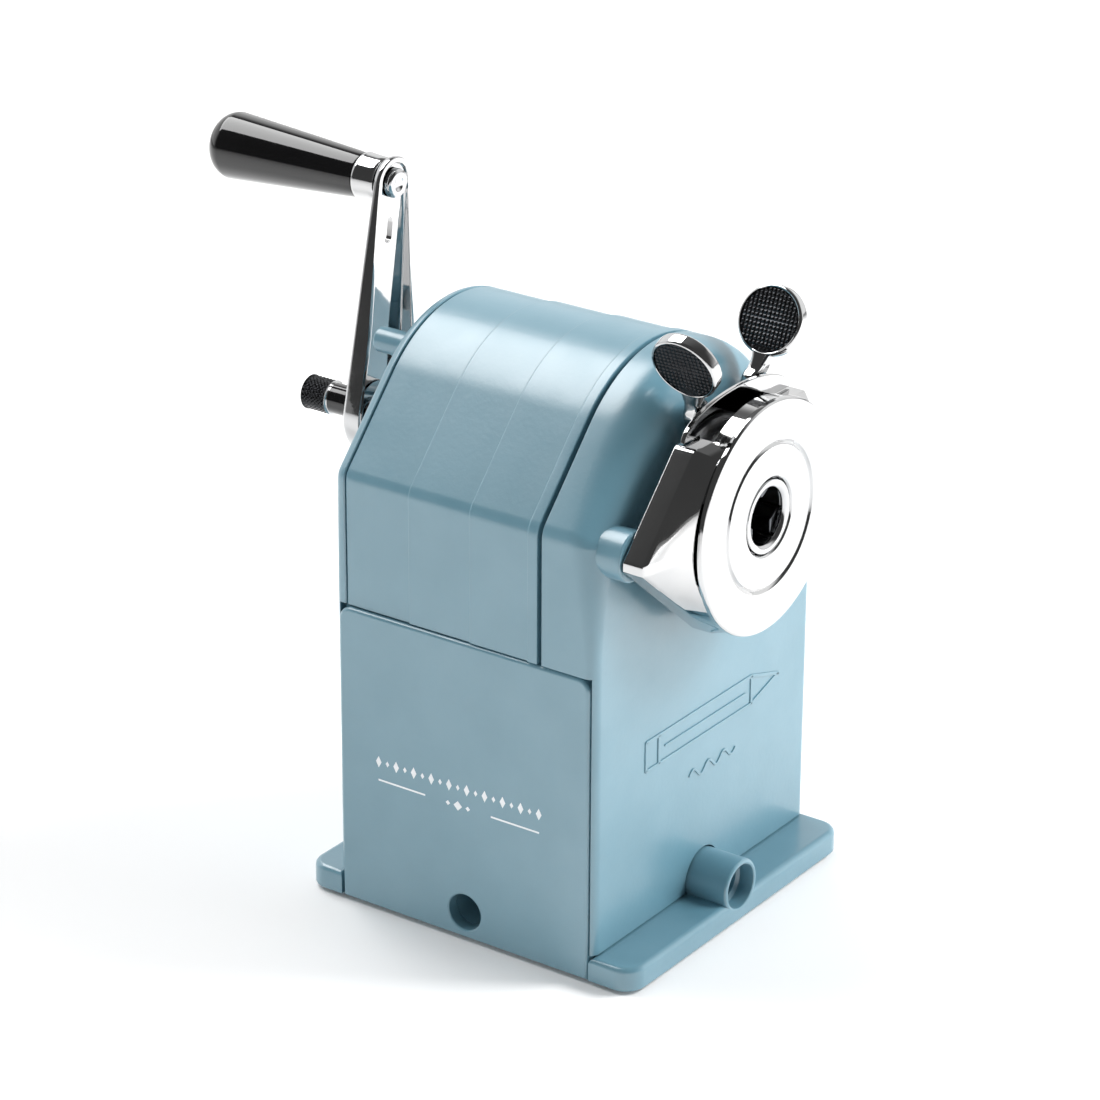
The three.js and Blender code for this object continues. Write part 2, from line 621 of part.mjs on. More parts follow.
function cutterCarrier() {
  const front = rod(CARRIER_R, ...FRONT_PLATE, 0, AXIS_Z, 32);
  const rear = rod(CARRIER_R - 3, ...REAR_PLATE, 0, AXIS_Z, 32);
  const journal = rod(JOURNAL_R, CARRIER_FRONT, FRONT_PLATE[1]);
  const bars = [-1, 1].map((side) => {
    const [a, b] = [side * BAR_X - 1.4, side * BAR_X + 1.4];
    return block(a, b, FRONT_PLATE[0] + 0.5, REAR_PLATE[1] - 0.5, AXIS_Z - 5.5, AXIS_Z + 1.5);
  });
  const body = join(front, rear, journal, ...bars);
  return cut(
    body,
    rod(BORE_R, CARRIER_FRONT - 1, FRONT_PLATE[1] + 1),
    alongCutter(CUTTER_SHAFT_R + GAP, FRONT_PLATE[0] - 3, REAR_PLATE[1] + 3),
    rod(STOP_R + GAP, REAR_PLATE[0] - 1, REAR_PLATE[1] + 1, 0, AXIS_Z, 12),
  );
}

// The cutter's cross-section turns as it goes along, which makes its helical edges.
function helicalCutter() {
  const points = teeth(CUTTER_FLUTES, CUTTER_R - 1.3, CUTTER_R, 0.95, 0.15);
  const turns = 7;
  const rings = [];
  for (let i = 0; i <= turns; i++) {
    const angle = THREE.MathUtils.degToRad((i * 75) / turns);
    const y = (i * CUTTER_LENGTH) / turns;
    const [c, s] = [Math.cos(angle), Math.sin(angle)];
    rings.push(points.map(([x, z]) => [x * c - z * s, y, x * s + z * c]));
  }
  const start = -(CUTTER_APEX + CUTTER_FROM) / Math.cos(TILT);
  const body = onCutterAxis(loft(rings).translate([0, start, 0]));
  return cut(body, alongCutter(CUTTER_SHAFT_R + GAP, -CUTTER_FROM - 5, CUTTER_APEX - 10));
}

function pinion() {
  const points = teeth(PINION_TEETH, PINION_PITCH - 1.2 * MODULE, PINION_PITCH + 0.75 * MODULE, 0.62, 0.3);
  const cone = toothedCone(points, -PINION_HALF, PINION_HALF, PINION_REACH);
  const turned = cone.rotate([0, 180 / PINION_TEETH + 90, 0]).translate([0, -PINION_REACH, 0]);
  return cut(onCutterAxis(turned), alongCutter(CUTTER_SHAFT_R + GAP, GEAR_Y - 4, GEAR_Y + 4));
}

add("cutter_carrier", cutterCarrier(), steel);
add("cutter_shaft", alongCutter(CUTTER_SHAFT_R, GEAR_Y - PINION_HALF, REAR_PLATE[1] - 0.6), steel);
add("helical_cutter", helicalCutter(), hardSteel);
add("drive_pinion", pinion(), hardSteel);

// ---- crank ----
const SHAFT_END = CRANK_REAR + 0.3;
const STOP_FROM = 12;

function crankOutline(inset) {
  const [hubR, tipR] = [CRANK_HUB_R - inset, CRANK_TIP_R - inset];
  const lean = Math.PI / 2 - CRANK_ANGLE;
  const spread = Math.acos((hubR - tipR) / CRANK_REACH);
  const shape = new THREE.Shape();
  shape.absarc(0, AXIS_Z, hubR, lean + spread, lean - spread + 2 * Math.PI);
  shape.absarc(CRANK_OVER, AXIS_Z + CRANK_UP, tipR, lean - spread, lean + spread);
  return shape;
}

// A slot between two points of the arm, measured from the hub towards the tip.
function armSlot(from, to, r) {
  const at = (d) => [d * Math.sin(CRANK_ANGLE), AXIS_Z + d * Math.cos(CRANK_ANGLE)];
  const ends = [from, to].map((d) => rod(r, CRANK_REAR - 3, CRANK_REAR + 1, ...at(d), 12));
  const middle = block(-r, r, CRANK_REAR - 3, CRANK_REAR + 1, from, to);
  const turn = THREE.MathUtils.radToDeg(CRANK_ANGLE);
  return join(...ends, middle.rotate([0, turn, 0]).translate([0, 0, AXIS_Z]));
}

// What the flanges lose as they get shallower towards the tip.
function flangeTaper() {
  const [deep, shallow] = [CRANK_REAR - CRANK_DEPTH, CRANK_REAR - CRANK_TIP_DEPTH];
  const [low, high] = [AXIS_Z + CRANK_UP / 3, AXIS_Z + CRANK_UP];
  return outlineShape([[deep - 1, low], [deep, low], [shallow, high], [shallow, high + 10], [deep - 1, high + 10]]);
}

function crankArm() {
  const outer = plateY(crankOutline(0), CRANK_REAR - CRANK_DEPTH, CRANK_REAR);
  const inner = plateY(crankOutline(CRANK_T), CRANK_REAR - CRANK_DEPTH - 1, CRANK_REAR - CRANK_T);
  return cut(
    outer,
    inner,
    plateX(flangeTaper(), -CRANK_HUB_R, CRANK_OVER + CRANK_TIP_R + 1),
    rod(CRANK_SHAFT_R + GAP, CRANK_REAR - 4, CRANK_REAR + 1),
    rod(AXLE_R + GAP, CRANK_REAR - 4, CRANK_REAR + 1, CRANK_OVER, AXIS_Z + CRANK_UP, 14),
    armSlot(CRANK_REACH - 10.2, CRANK_REACH - 7.6, 1.1),
  );
}

const gripAt = [CRANK_OVER, AXIS_Z + CRANK_UP];
const HUB_FROM = WALL_REAR + HUB_BOSS_L + GAP;
const HUB_TO = CRANK_REAR - CRANK_T - GAP;
const shaft = cut(
  join(
    rod(CRANK_SHAFT_R, REAR_PLATE[1] + GAP, SHAFT_END),
    rod(CRANK_SHAFT_R + 1.6, REAR_PLATE[1] + GAP, REAR_IN - 0.3),
  ),
  rod(STOP_R + GAP, REAR_PLATE[1], SHAFT_END + 1, 0, AXIS_Z, 12),
);
add("crank_shaft", shaft, steel);
const hub = cut(rod(6.2, HUB_FROM, HUB_TO, 0, AXIS_Z, 24, 5.4), rod(CRANK_SHAFT_R + GAP, HUB_FROM - 1, HUB_TO + 1));
add("crank_hub", hub, chrome);
add("crank_arm", crankArm(), chrome);

const AXLE_END = CRANK_REAR + FERRULE_L + 18;
add(
  "grip_axle",
  join(
    rod(AXLE_R + 0.9, CRANK_REAR - CRANK_T - 1.6, CRANK_REAR - CRANK_T - GAP, ...gripAt, 18),
    rod(AXLE_R, CRANK_REAR - CRANK_T - 1, AXLE_END, ...gripAt, 14),
  ),
  steel,
);

// ---- grip, which turns on its axle ----
const FERRULE_FROM = CRANK_REAR + GAP;
const GRIP_FROM = FERRULE_FROM + FERRULE_L + GAP;
add(
  "grip_ferrule",
  cut(
    rod(GRIP_SMALL_R, FERRULE_FROM, FERRULE_FROM + FERRULE_L, ...gripAt, 24, GRIP_SMALL_R + 0.3),
    rod(AXLE_R + GAP, FERRULE_FROM - 1, GRIP_FROM + 1, ...gripAt, 14),
  ),
  chrome,
);

function grip() {
  const bore = AXLE_R + GAP;
  const depth = AXLE_END - GRIP_FROM + 1;
  const profile = [
    new THREE.Vector2(0, depth),
    new THREE.Vector2(bore, depth),
    new THREE.Vector2(bore, 0),
    new THREE.Vector2(GRIP_SMALL_R, 0),
  ];
  const domeFrom = GRIP_LENGTH - GRIP_BIG_R * 0.75;
  for (let i = 0; i <= 5; i++) {
    const angle = (i * Math.PI) / 10;
    const rise = (GRIP_LENGTH - domeFrom) * Math.sin(angle);
    profile.push(new THREE.Vector2(i === 5 ? 0 : GRIP_BIG_R * Math.cos(angle), domeFrom + rise));
  }
  const geometry = new THREE.LatheGeometry(profile, 24);
  geometry.translate(gripAt[0], GRIP_FROM, gripAt[1]);
  return solid(geometry);
}

add("grip", grip(), blackGloss);

// ---- point adjuster: a knurled knob whose stem carries the stop rod ----
const KNOB_FROM = SHAFT_END + GAP + COLLAR_L;

function adjusterKnob() {
  const knurl = plateY(
    teeth(18, KNOB_R - 0.35, KNOB_R, 0.9, 0.4).map(([x, z]) => [x, z + AXIS_Z]),
    KNOB_FROM,
    KNOB_FROM + KNOB_L,
  );
  const collar = rod(COLLAR_R, SHAFT_END + GAP, KNOB_FROM + 0.5);
  return cut(join(knurl, collar), rod(STOP_R + GAP, SHAFT_END, KNOB_FROM + 1, 0, AXIS_Z, 12));
}

add("adjuster_knob", adjusterKnob(), chrome);
add("stop_rod", rod(STOP_R, STOP_FROM, KNOB_FROM - 1, 0, AXIS_Z, 12), steel);

// ---- chuck: the carriage that slides out on two rods and holds the pencil ----
const CHUCK_REAR = FRONT_Y - CHUCK_GAP;
const CHUCK_RIM = CHUCK_REAR - CHUCK_BAND;
const CHUCK_T = 0.8;
const DISC_REAR = DISC_Y + DISC_T;
const COVER_FRONT = DISC_REAR + GAP;
const LIP_R = 17;
const EDGE_R = DISC_R - 0.4;
const TOP_CUT_X = 12.3;
const CUT_FRONT = CHUCK_RIM - 0.4;
const BROW_UP = DISC_R + 1.4; // top of the back plate's brow, above the axis
const PLATE = [CHUCK_REAR - 1.6, CHUCK_REAR - 0.6];

// Corners of the chuck cover's right half seen from the front, as [x, height above the axis].
const COVER_CORNERS = [
  [0, SHOULDER_UP],
  [SHOULDER_X, SHOULDER_UP],
  [EAR_X, EAR_TIP],
  [EAR_X, -EAR_TIP],
  [11, -19.3],
  [0, -DISC_R - 0.4],
];
const FULL_CORNERS = [...COVER_CORNERS, ...COVER_CORNERS.slice(1, -1).map(([x, z]) => [-x, z]).reverse()];

// How far the cover's outline, moved in by inset, lies from the axis at an angle.
function coverReach(angle, inset) {
  const [ux, uz] = [Math.cos(angle), Math.sin(angle)];
  let reach = Infinity;
  FULL_CORNERS.forEach(([x0, z0], i) => {
    const [x1, z1] = FULL_CORNERS[(i + 1) % FULL_CORNERS.length];
    const length = Math.hypot(x1 - x0, z1 - z0);
    const [nx, nz] = [-(z1 - z0) / length, (x1 - x0) / length];
    const facing = nx * ux + nz * uz;
    if (facing > 1e-6) reach = Math.min(reach, (nx * x0 + nz * z0 - inset) / facing);
  });
  return reach;
}

// Angles that hit every corner, with enough between them to draw the round front.
function coverAngles() {
  const corners = FULL_CORNERS.map(([x, z]) => Math.atan2(z, x)).sort((a, b) => a - b);
  const angles = [];
  corners.forEach((from, i) => {
    const to = i + 1 < corners.length ? corners[i + 1] : corners[0] + 2 * Math.PI;
    const steps = Math.max(1, Math.ceil((to - from) / 0.2));
    for (let k = 0; k < steps; k++) angles.push(from + ((to - from) * k) / steps);
  });
  return angles;
}

const COVER_ANGLES = coverAngles();

function coverRing(y, inset) {
  return COVER_ANGLES.map((a) => {
    const r = coverReach(a, inset);
    return [r * Math.cos(a), y, AXIS_Z + r * Math.sin(a)];
  });
}

function roundRing(y, r) {
  return COVER_ANGLES.map((a) => [r * Math.cos(a), y, AXIS_Z + r * Math.sin(a)]);
}

// A slanted shell from the eared rim to the disc, with a round drum where the top is cut open.
function chuckCover() {
  const drum = rod(EDGE_R, COVER_FRONT, CUT_FRONT, 0, AXIS_Z, 40);
  const drumHollow = rod(EDGE_R - CHUCK_T, COVER_FRONT + CHUCK_T, CUT_FRONT + 1, 0, AXIS_Z, 40);
  const outer = loft([coverRing(CHUCK_REAR, 0), coverRing(CHUCK_RIM, 0), roundRing(COVER_FRONT, EDGE_R)]);
  const inner = loft([
    coverRing(CHUCK_REAR + 1, CHUCK_T),
    coverRing(CHUCK_RIM + CHUCK_T, CHUCK_T),
    roundRing(COVER_FRONT + CHUCK_T, EDGE_R - CHUCK_T),
  ]);
  const lip = rod(LIP_R, DISC_Y, COVER_FRONT + 2 * CHUCK_T, 0, AXIS_Z, 32);
  const topCut = block(-TOP_CUT_X, TOP_CUT_X, CUT_FRONT, CHUCK_REAR + 1, AXIS_Z + 10, AXIS_Z + 2 * DISC_R);
  return cut(join(outer, drum), inner, drumHollow, lip, topCut);
}

// The part of the back plate that stands above the cover's shoulders.
function plateBrow() {
  const low = SHOULDER_UP + GAP;
  const half = [[SHOULDER_X - 0.6, low], [SHOULDER_X * 0.45, BROW_UP - 1], [SHOULDER_X * 0.15, BROW_UP]];
  const points = [...half, ...half.map(([x, up]) => [-x, up]).reverse()];
  return plateY(points.map(([x, up]) => [x, AXIS_Z + up]), ...PLATE);
}

function backPlate() {
  const inside = COVER_ANGLES.map((a) => {
    const r = coverReach(a, CHUCK_T + GAP);
    return [r * Math.cos(a), AXIS_Z + r * Math.sin(a)];
  });
  const neck = block(-TOP_CUT_X + GAP, TOP_CUT_X - GAP, ...PLATE, AXIS_Z, AXIS_Z + SHOULDER_UP + 1);
  const plate = join(plateY(inside, ...PLATE), neck, plateBrow());
  const holes = [-1, 1].map((side) => rod(ROD_STUD_R + GAP, PLATE[0] - 1, PLATE[1] + 1, side * ROD_X, ROD_Z, 12));
  return cut(plate, rod(BORE_R, PLATE[0] - 1, PLATE[1] + 1), ...holes);
}

function faceDisc() {
  const dishR = 0.637 * DISC_R;
  const holeR = EYELET_R + GAP;
  const profile = [
    [holeR, DISC_REAR],
    [DISC_R, DISC_REAR],
    [DISC_R, DISC_Y + 0.6],
    [DISC_R - 0.6, DISC_Y],
    [dishR, DISC_Y],
    [dishR - 0.3, DISC_Y + 0.3],
    [holeR + 0.5, DISC_Y + 0.6],
    [holeR, DISC_Y + 0.3],
  ];
  const points = [...profile, profile[0]].map(([r, y]) => new THREE.Vector2(r, y));
  const geometry = new THREE.LatheGeometry(points, 36);
  geometry.translate(0, 0, AXIS_Z);
  return solid(geometry);
}

const EYELET_R = 6.8;
const GUIDE_R = SHOULDER_UP - CHUCK_T - GAP;
const GUIDE = [COVER_FRONT + GAP, PLATE[0] - GAP];
const JAW_W = 5;
const JAW_TIP = 3.2; // tips from the axis when the levers are let go
const JAW_END = 9.5;
const JAW_TRAVEL = 3.6;

add("chuck_cover", chuckCover(), chrome);
add("chuck_back_plate", backPlate(), chrome);
add("face_disc", faceDisc(), chrome);
add("bore_eyelet", cut(rod(EYELET_R, DISC_Y + 0.2, DISC_REAR), rod(BORE_R, DISC_Y - 1, DISC_REAR + 1)), chrome);

function jawTurn(manifold, i) {
  return manifold.rotate([0, -90 + i * 120, 0]).translate([0, 0, AXIS_Z]);
}

function jawGuide() {
  const slots = [0, 1, 2].map((i) => {
    const half = JAW_W / 2 + GAP;
    const slot = block(0, JAW_END + JAW_TRAVEL + GAP, GUIDE[0] - 1, GUIDE[1] + 1, -half, half);
    return jawTurn(slot, i);
  });
  return cut(rod(GUIDE_R, ...GUIDE, 0, AXIS_Z, 36), rod(BORE_R + 0.6, GUIDE[0] - 1, GUIDE[1] + 1), ...slots);
}

function jaw(i) {
  const half = JAW_W / 2;
  const wide = JAW_TIP + half / Math.tan(Math.PI / 3);
  const points = [[JAW_TIP, 0], [wide, -half], [JAW_END, -half], [JAW_END, half], [wide, half]];
  return jawTurn(plateY(points, GUIDE[0] + 0.1, GUIDE[1] - 0.1), i);
}

add("jaw_guide", jawGuide(), steel);
for (let i = 0; i < 3; i++) add(`chuck_jaw_${i + 1}`, jaw(i), hardSteel);

// ---- guide rods, their nuts, collars and springs ----
const NUT_R = 2.2;
const NUT_T = 1.2;
const COLLAR_ROD_R = 3.6;

class Helix extends THREE.Curve {
  constructor(radius, length, turns) {
    super();
    Object.assign(this, { radius, length, turns });
  }

  getPoint(t) {
    const angle = 2 * Math.PI * this.turns * t;
    return new THREE.Vector3(this.radius * Math.cos(angle), this.length * t, this.radius * Math.sin(angle));
  }

  getLength() {
    return Math.hypot(this.length, 2 * Math.PI * this.radius * this.turns);
  }
}

function spring(radius, wire, length, turns) {
  const section = new THREE.Shape();
  for (let i = 0; i < 4; i++) {
    const angle = (i * 2 * Math.PI) / 4;
    const [u, v] = [wire * Math.cos(angle), wire * Math.sin(angle)];
    if (i) section.lineTo(u, v);
    else section.moveTo(u, v);
  }
  const extrudePath = new Helix(radius, length, turns);
  return solid(new THREE.ExtrudeGeometry(section, { steps: turns * 8, extrudePath, bevelEnabled: false }));
}

for (const [side, sideName] of [[-1, "left"], [1, "right"]]) {
  const at = [side * ROD_X, ROD_Z];
  const bore = (r, y0, y1) => rod(r + GAP, y0 - 1, y1 + 1, ...at, 12);
  const nut = [PLATE[0] - GAP - NUT_T, PLATE[0] - GAP];
  const collar = [ROD_INNER - 3.2, ROD_INNER - 0.4];
  const stud = rod(ROD_STUD_R, nut[0] + 0.1, PLATE[1] + 1, ...at, 12);
  add(`guide_rod_${sideName}`, join(rod(ROD_R, PLATE[1] + GAP, ROD_INNER, ...at, 14), stud), steel);
  add(`rod_nut_${sideName}`, cut(rod(NUT_R, ...nut, ...at, 6), bore(ROD_STUD_R, ...nut)), steel);
  add(`rod_collar_${sideName}`, cut(rod(COLLAR_ROD_R, ...collar, ...at, 16), bore(ROD_R, ...collar)), steel);
  const from = BOSS_INNER + GAP + SPRING_WIRE_R;
  const coil = spring(SPRING_R, SPRING_WIRE_R, collar[0] - GAP - SPRING_WIRE_R - from, SPRING_TURNS);
  add(`feed_spring_${sideName}`, coil.translate([at[0], from, at[1]]), steel);
}

// ---- thumb levers ----
const RING_T = 1;
const LEVER_RING_R = 12;
const ARM_W = 4.4;
const ARM_T = 2.8;
const WAIST_W = 3.6;
const SLEEVE = [PLATE[1] + GAP, FRONT_Y - 0.4];
const STEM_Y = PLATE[1] + GAP + ARM_T / 2 + 0.1;

const sleeve = cut(
  join(rod(SLEEVE_R, ...SLEEVE), rod(SLEEVE_R + 2.5, SLEEVE[1] - 0.8, SLEEVE[1])),
  rod(BORE_R, SLEEVE[0] - 1, SLEEVE[1] + 1),
);
add("chuck_sleeve", sleeve, steel);

// A lever standing upright, then leaned to its side.
function lever(side) {
  const y0 = side < 0 ? SLEEVE[0] + GAP : SLEEVE[0] + 2 * GAP + RING_T;
  const ring = rod(LEVER_RING_R, y0, y0 + RING_T, 0, 0, 28);
  const low = block(-ARM_W / 2, ARM_W / 2, y0, y0 + RING_T, SLEEVE_R + 2, LEVER_RING_R + 4);
  const [front, back] = [STEM_Y - ARM_T / 2, STEM_Y + ARM_T / 2];
  const stem = new THREE.Shape();
  stem.moveTo(-ARM_W / 2, LEVER_RING_R + 1);
  stem.lineTo(ARM_W / 2, LEVER_RING_R + 1);
  stem.lineTo(ARM_W / 2, DISC_R);
  stem.lineTo(WAIST_W / 2, DISC_R + 3);
  stem.lineTo(WAIST_W / 2, PAD_ORBIT - PAD_R + 1.5);
  stem.lineTo(-WAIST_W / 2, PAD_ORBIT - PAD_R + 1.5);
  stem.lineTo(-WAIST_W / 2, DISC_R + 3);
  stem.lineTo(-ARM_W / 2, DISC_R);
  const pad = rodX(PAD_R, -PAD_T / 2, PAD_T / 2, LEVER_Y, PAD_ORBIT, 28);
  const hole = rod(SLEEVE_R + GAP, y0 - 1, y0 + RING_T + 1, 0, 0);
  const upright = cut(join(ring, low, plateY(stem, front, back), pad), hole);
  return upright.rotate([0, side * LEVER_ANGLE, 0]).translate([0, 0, AXIS_Z]);
}

add("lever_left", lever(-1), chrome);
add("lever_right", lever(1), chrome);

// The small spring that keeps the levers apart lies across, between their stems.
const LEVER_SPRING_UP = 17.5;
const springHalf = LEVER_SPRING_UP * Math.tan(THREE.MathUtils.degToRad(LEVER_ANGLE)) - ARM_W / 2 - 1;
const leverCoil = spring(1.1, 0.25, 2 * springHalf, 5).rotate([0, 0, -90]);
add("lever_spring", leverCoil.translate([-springHalf, STEM_Y, AXIS_Z + LEVER_SPRING_UP]), steel);

export default root;
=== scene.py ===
import math
import bpy
import bmesh
from mathutils import Matrix, Vector


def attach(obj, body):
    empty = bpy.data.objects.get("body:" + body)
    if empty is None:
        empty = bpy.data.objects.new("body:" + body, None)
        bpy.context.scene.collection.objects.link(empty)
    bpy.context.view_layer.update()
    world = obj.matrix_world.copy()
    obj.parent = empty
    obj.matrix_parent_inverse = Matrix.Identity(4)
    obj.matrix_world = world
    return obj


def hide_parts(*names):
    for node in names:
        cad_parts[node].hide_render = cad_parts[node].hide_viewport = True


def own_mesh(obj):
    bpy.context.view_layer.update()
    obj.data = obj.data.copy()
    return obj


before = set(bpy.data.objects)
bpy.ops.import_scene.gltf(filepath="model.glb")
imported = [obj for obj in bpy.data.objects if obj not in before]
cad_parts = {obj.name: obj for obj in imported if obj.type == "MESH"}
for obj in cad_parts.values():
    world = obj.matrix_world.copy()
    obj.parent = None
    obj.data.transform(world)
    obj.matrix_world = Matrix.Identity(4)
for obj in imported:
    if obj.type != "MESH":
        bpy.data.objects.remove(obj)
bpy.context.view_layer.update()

# ---- the CAD's measures, in millimetres ----
MM = 0.001
AXIS_Z = 80.5
HALF_W = 35
FRONT_Y, FRONT_IN = -28, -24.5
WALL_REAR, REAR_IN = 29, 24.5
SEAM_Y = -16.6
TOP = 4.9
LEDGE_Z, KINK_Z, ARCH_R = 58.5, 84, 28
PANEL_IN, PANEL_FRONT, PANEL_REAR = 32.6, -26.8, 27.7
GAP = 0.3
COVER_REAR = 26.3
DISC_Y = -40.5
CHUCK_REAR, CHUCK_RIM, COVER_FRONT, EDGE_R = -31.8, -36, -39.2, 21.1
CRANK_REAR, CRANK_OVER, CRANK_UP = 47.5, 6.5, 42.1
ROD_X, ROD_Z = 28.6, 80.8


# ---- outlines ----
def rounded(corners, radius, steps=4):
    """A closed outline with its corners rounded; radius is one number, or one for each corner."""
    points = []
    count = len(corners)
    for i, corner in enumerate(corners):
        r = radius[i] if isinstance(radius, (list, tuple)) else radius
        at = Vector(corner)
        before, after = Vector(corners[i - 1]) - at, Vector(corners[(i + 1) % count]) - at
        half = before.angle(after) / 2
        if r <= 0 or half > math.pi / 2 - 0.02:
            points.append(tuple(at))
            continue
        reach = min(r / math.tan(half), 0.48 * before.length, 0.48 * after.length)
        a, b = at + before.normalized() * reach, at + after.normalized() * reach
        middle = at + (before.normalized() + after.normalized()).normalized() * (reach / math.cos(half))
        for k in range(steps + 1):
            arm = (a - middle).lerp(b - middle, k / steps).normalized() * (a - middle).length
            points.append(tuple(middle + arm))
    return points


def inset_outline(points, inset):
    """A counter-clockwise outline moved inwards."""
    moved = []
    for i, point in enumerate(points):
        at = Vector(point)
        d0 = (at - Vector(points[i - 1])).normalized()
        d1 = (Vector(points[(i + 1) % len(points)]) - at).normalized()
        normal = Vector((-d0.y - d1.y, d0.x + d1.x)).normalized()
        cosine = max(normal.dot(Vector((-d0.y, d0.x))), 0.4)
        moved.append(tuple(at + normal * (inset / cosine)))
    return moved


def circle(r, steps, x=0, z=0, start=0):
    turn = 2 * math.pi / steps
    return [(x + r * math.cos(start + i * turn), z + r * math.sin(start + i * turn)) for i in range(steps)]


def lerp(a, b, t):
    return a + (b - a) * t


def smooth(t):
    t = min(max(t, 0), 1)
    return t * t * (3 - 2 * t)


# ---- solids, as meshes in millimetres ----
def to_mesh(bm):
    bmesh.ops.remove_doubles(bm, verts=bm.verts, dist=1e-4)
    bmesh.ops.dissolve_degenerate(bm, dist=1e-4, edges=bm.edges)
    bmesh.ops.recalc_face_normals(bm, faces=bm.faces)
    mesh = bpy.data.meshes.new("solid")
    bm.to_mesh(mesh)
    bm.free()
    return mesh


def skin(rings, closed=False):
    """Rings of points with equal counts, joined one to the next, with a face over each end."""
    bm = bmesh.new()
    rows = [[bm.verts.new(p) for p in ring] for ring in rings]
    count = len(rows[0])
    pairs = list(zip(rows, rows[1:]))
    if closed:
        pairs.append((rows[-1], rows[0]))
    for a, b in pairs:
        for i in range(count):
            j = (i + 1) % count
            bm.faces.new((a[i], a[j], b[j], b[i]))
    if not closed:
        bm.faces.new(rows[0][::-1])
        bm.faces.new(rows[-1])
    return to_mesh(bm)


PLACES = {
    "X": lambda u, v, along: (along, u, v),
    "Y": lambda u, v, along: (u, along, v),
    "Z": lambda u, v, along: (u, v, along),
}


def plate(outline, lo, hi, axis="Y", edge=0.3, steps=3, far_edge=None):
    """A closed outline made solid along an axis, with both rims rounded."""
    far_edge = edge if far_edge is None else far_edge
    area = sum(a[0] * b[1] - b[0] * a[1] for a, b in zip(outline, outline[1:] + outline[:1]))
    outline = outline if area > 0 else outline[::-1]
    rings = []
    for r, base, inward in ((edge, lo, 1), (far_edge, hi, -1)):
        angles = [k * math.pi / 2 / steps for k in range(steps + 1)] if r > 0 else [math.pi / 2]
        for angle in angles[::inward]:
            along = base + inward * r * (1 - math.cos(angle))
            rim = inset_outline(outline, r * (1 - math.sin(angle)))
            rings.append([PLACES[axis](u, v, along) for u, v in rim])
    return skin(rings)


def turned(profile, at=(0, AXIS_Z), axis="Y", steps=64, radius=0.0, start=0.0):
    """A turned solid. The profile is a closed loop of (radius, place along the axis)."""
    if radius:
        radii = [0 if r < 1e-6 else radius for r, _ in profile]
        profile = rounded(profile, radii)
    on_axis = [i for i, (r, _) in enumerate(profile) if r < 1e-6]
    if on_axis:
        last = on_axis[-1] if on_axis[-1] - on_axis[0] == len(on_axis) - 1 else on_axis[0]
        profile = profile[last:] + profile[:last]
    rings = [[PLACES[axis](u, v, along) for u, v in circle(max(r, 0), steps, *at, start)]
             for r, along in profile]
    if not on_axis:
        return skin(rings, closed=True)
    bm = bmesh.new()
    rows = [[bm.verts.new(p) for p in ring] for ring in rings]
    for a, b in zip(rows, rows[1:]):
        for i in range(steps):
            j = (i + 1) % steps
            bm.faces.new((a[i], a[j], b[j], b[i]))
    return to_mesh(bm)


def rod(r, lo, hi, at=(0, AXIS_Z), axis="Y", steps=40, edge=0.0):
    return turned([(0, lo), (r, lo), (r, hi), (0, hi)], at, axis, steps, edge)


def tube(r, bore, lo, hi, at=(0, AXIS_Z), axis="Y", steps=64, edge=0.25):
    return turned([(bore, lo), (r, lo), (r, hi), (bore, hi)], at, axis, steps, edge)


def block(x0, x1, y0, y1, z0, z1):
    corners = [(x0, y0), (x1, y0), (x1, y1), (x0, y1)]
    return skin([[(x, y, z) for x, y in corners] for z in (z0, z1)])


def sweep(points, radius, sides=10):
    """A round wire along a line of points."""
    rings = []
    side = None
    for i, point in enumerate(points):
        ahead = (points[min(i + 1, len(points) - 1)] - points[max(i - 1, 0)]).normalized()
        side = ahead.orthogonal() if side is None else side - ahead * side.dot(ahead)
        side.normalize()
        other = ahead.cross(side)
        rings.append([point + side * u + other * v for u, v in circle(radius, sides)])
    return skin(rings)


def coil(r, wire, length, turns, axis="Y", sides=8):
    """A spring along an axis from 0."""
    points = []
    steps = turns * 24
    for i in range(steps + 1):
        t = i / steps
        angle = 2 * math.pi * turns * t
        points.append(Vector(PLACES[axis](r * math.cos(angle), r * math.sin(angle), length * t)))
    return sweep(points, wire, sides)


def moved(mesh, matrix):
    mesh.transform(matrix)
    return mesh


def temporary(mesh):
    obj = bpy.data.objects.new("temporary", mesh)
    bpy.context.scene.collection.objects.link(obj)
    return obj


def boolean(operation, mesh, *others):
    base = temporary(mesh)
    tools = [temporary(other) for other in others]
    for tool in tools:
        modifier = base.modifiers.new("boolean", "BOOLEAN")
        modifier.operation = operation
        modifier.solver = "EXACT"
        modifier.object = tool
    graph = bpy.context.evaluated_depsgraph_get()
    result = bpy.data.meshes.new_from_object(base.evaluated_get(graph))
    for obj in [base, *tools]:
        bpy.data.objects.remove(obj)
    return result


def cut(mesh, *holes):
    return boolean("DIFFERENCE", mesh, *holes)


def join(mesh, *others):
    return boolean("UNION", mesh, *others)


def together(*meshes):
    """Separate bodies in one mesh."""
    bm = bmesh.new()
    for mesh in meshes:
        bm.from_mesh(mesh)
    return to_mesh(bm)


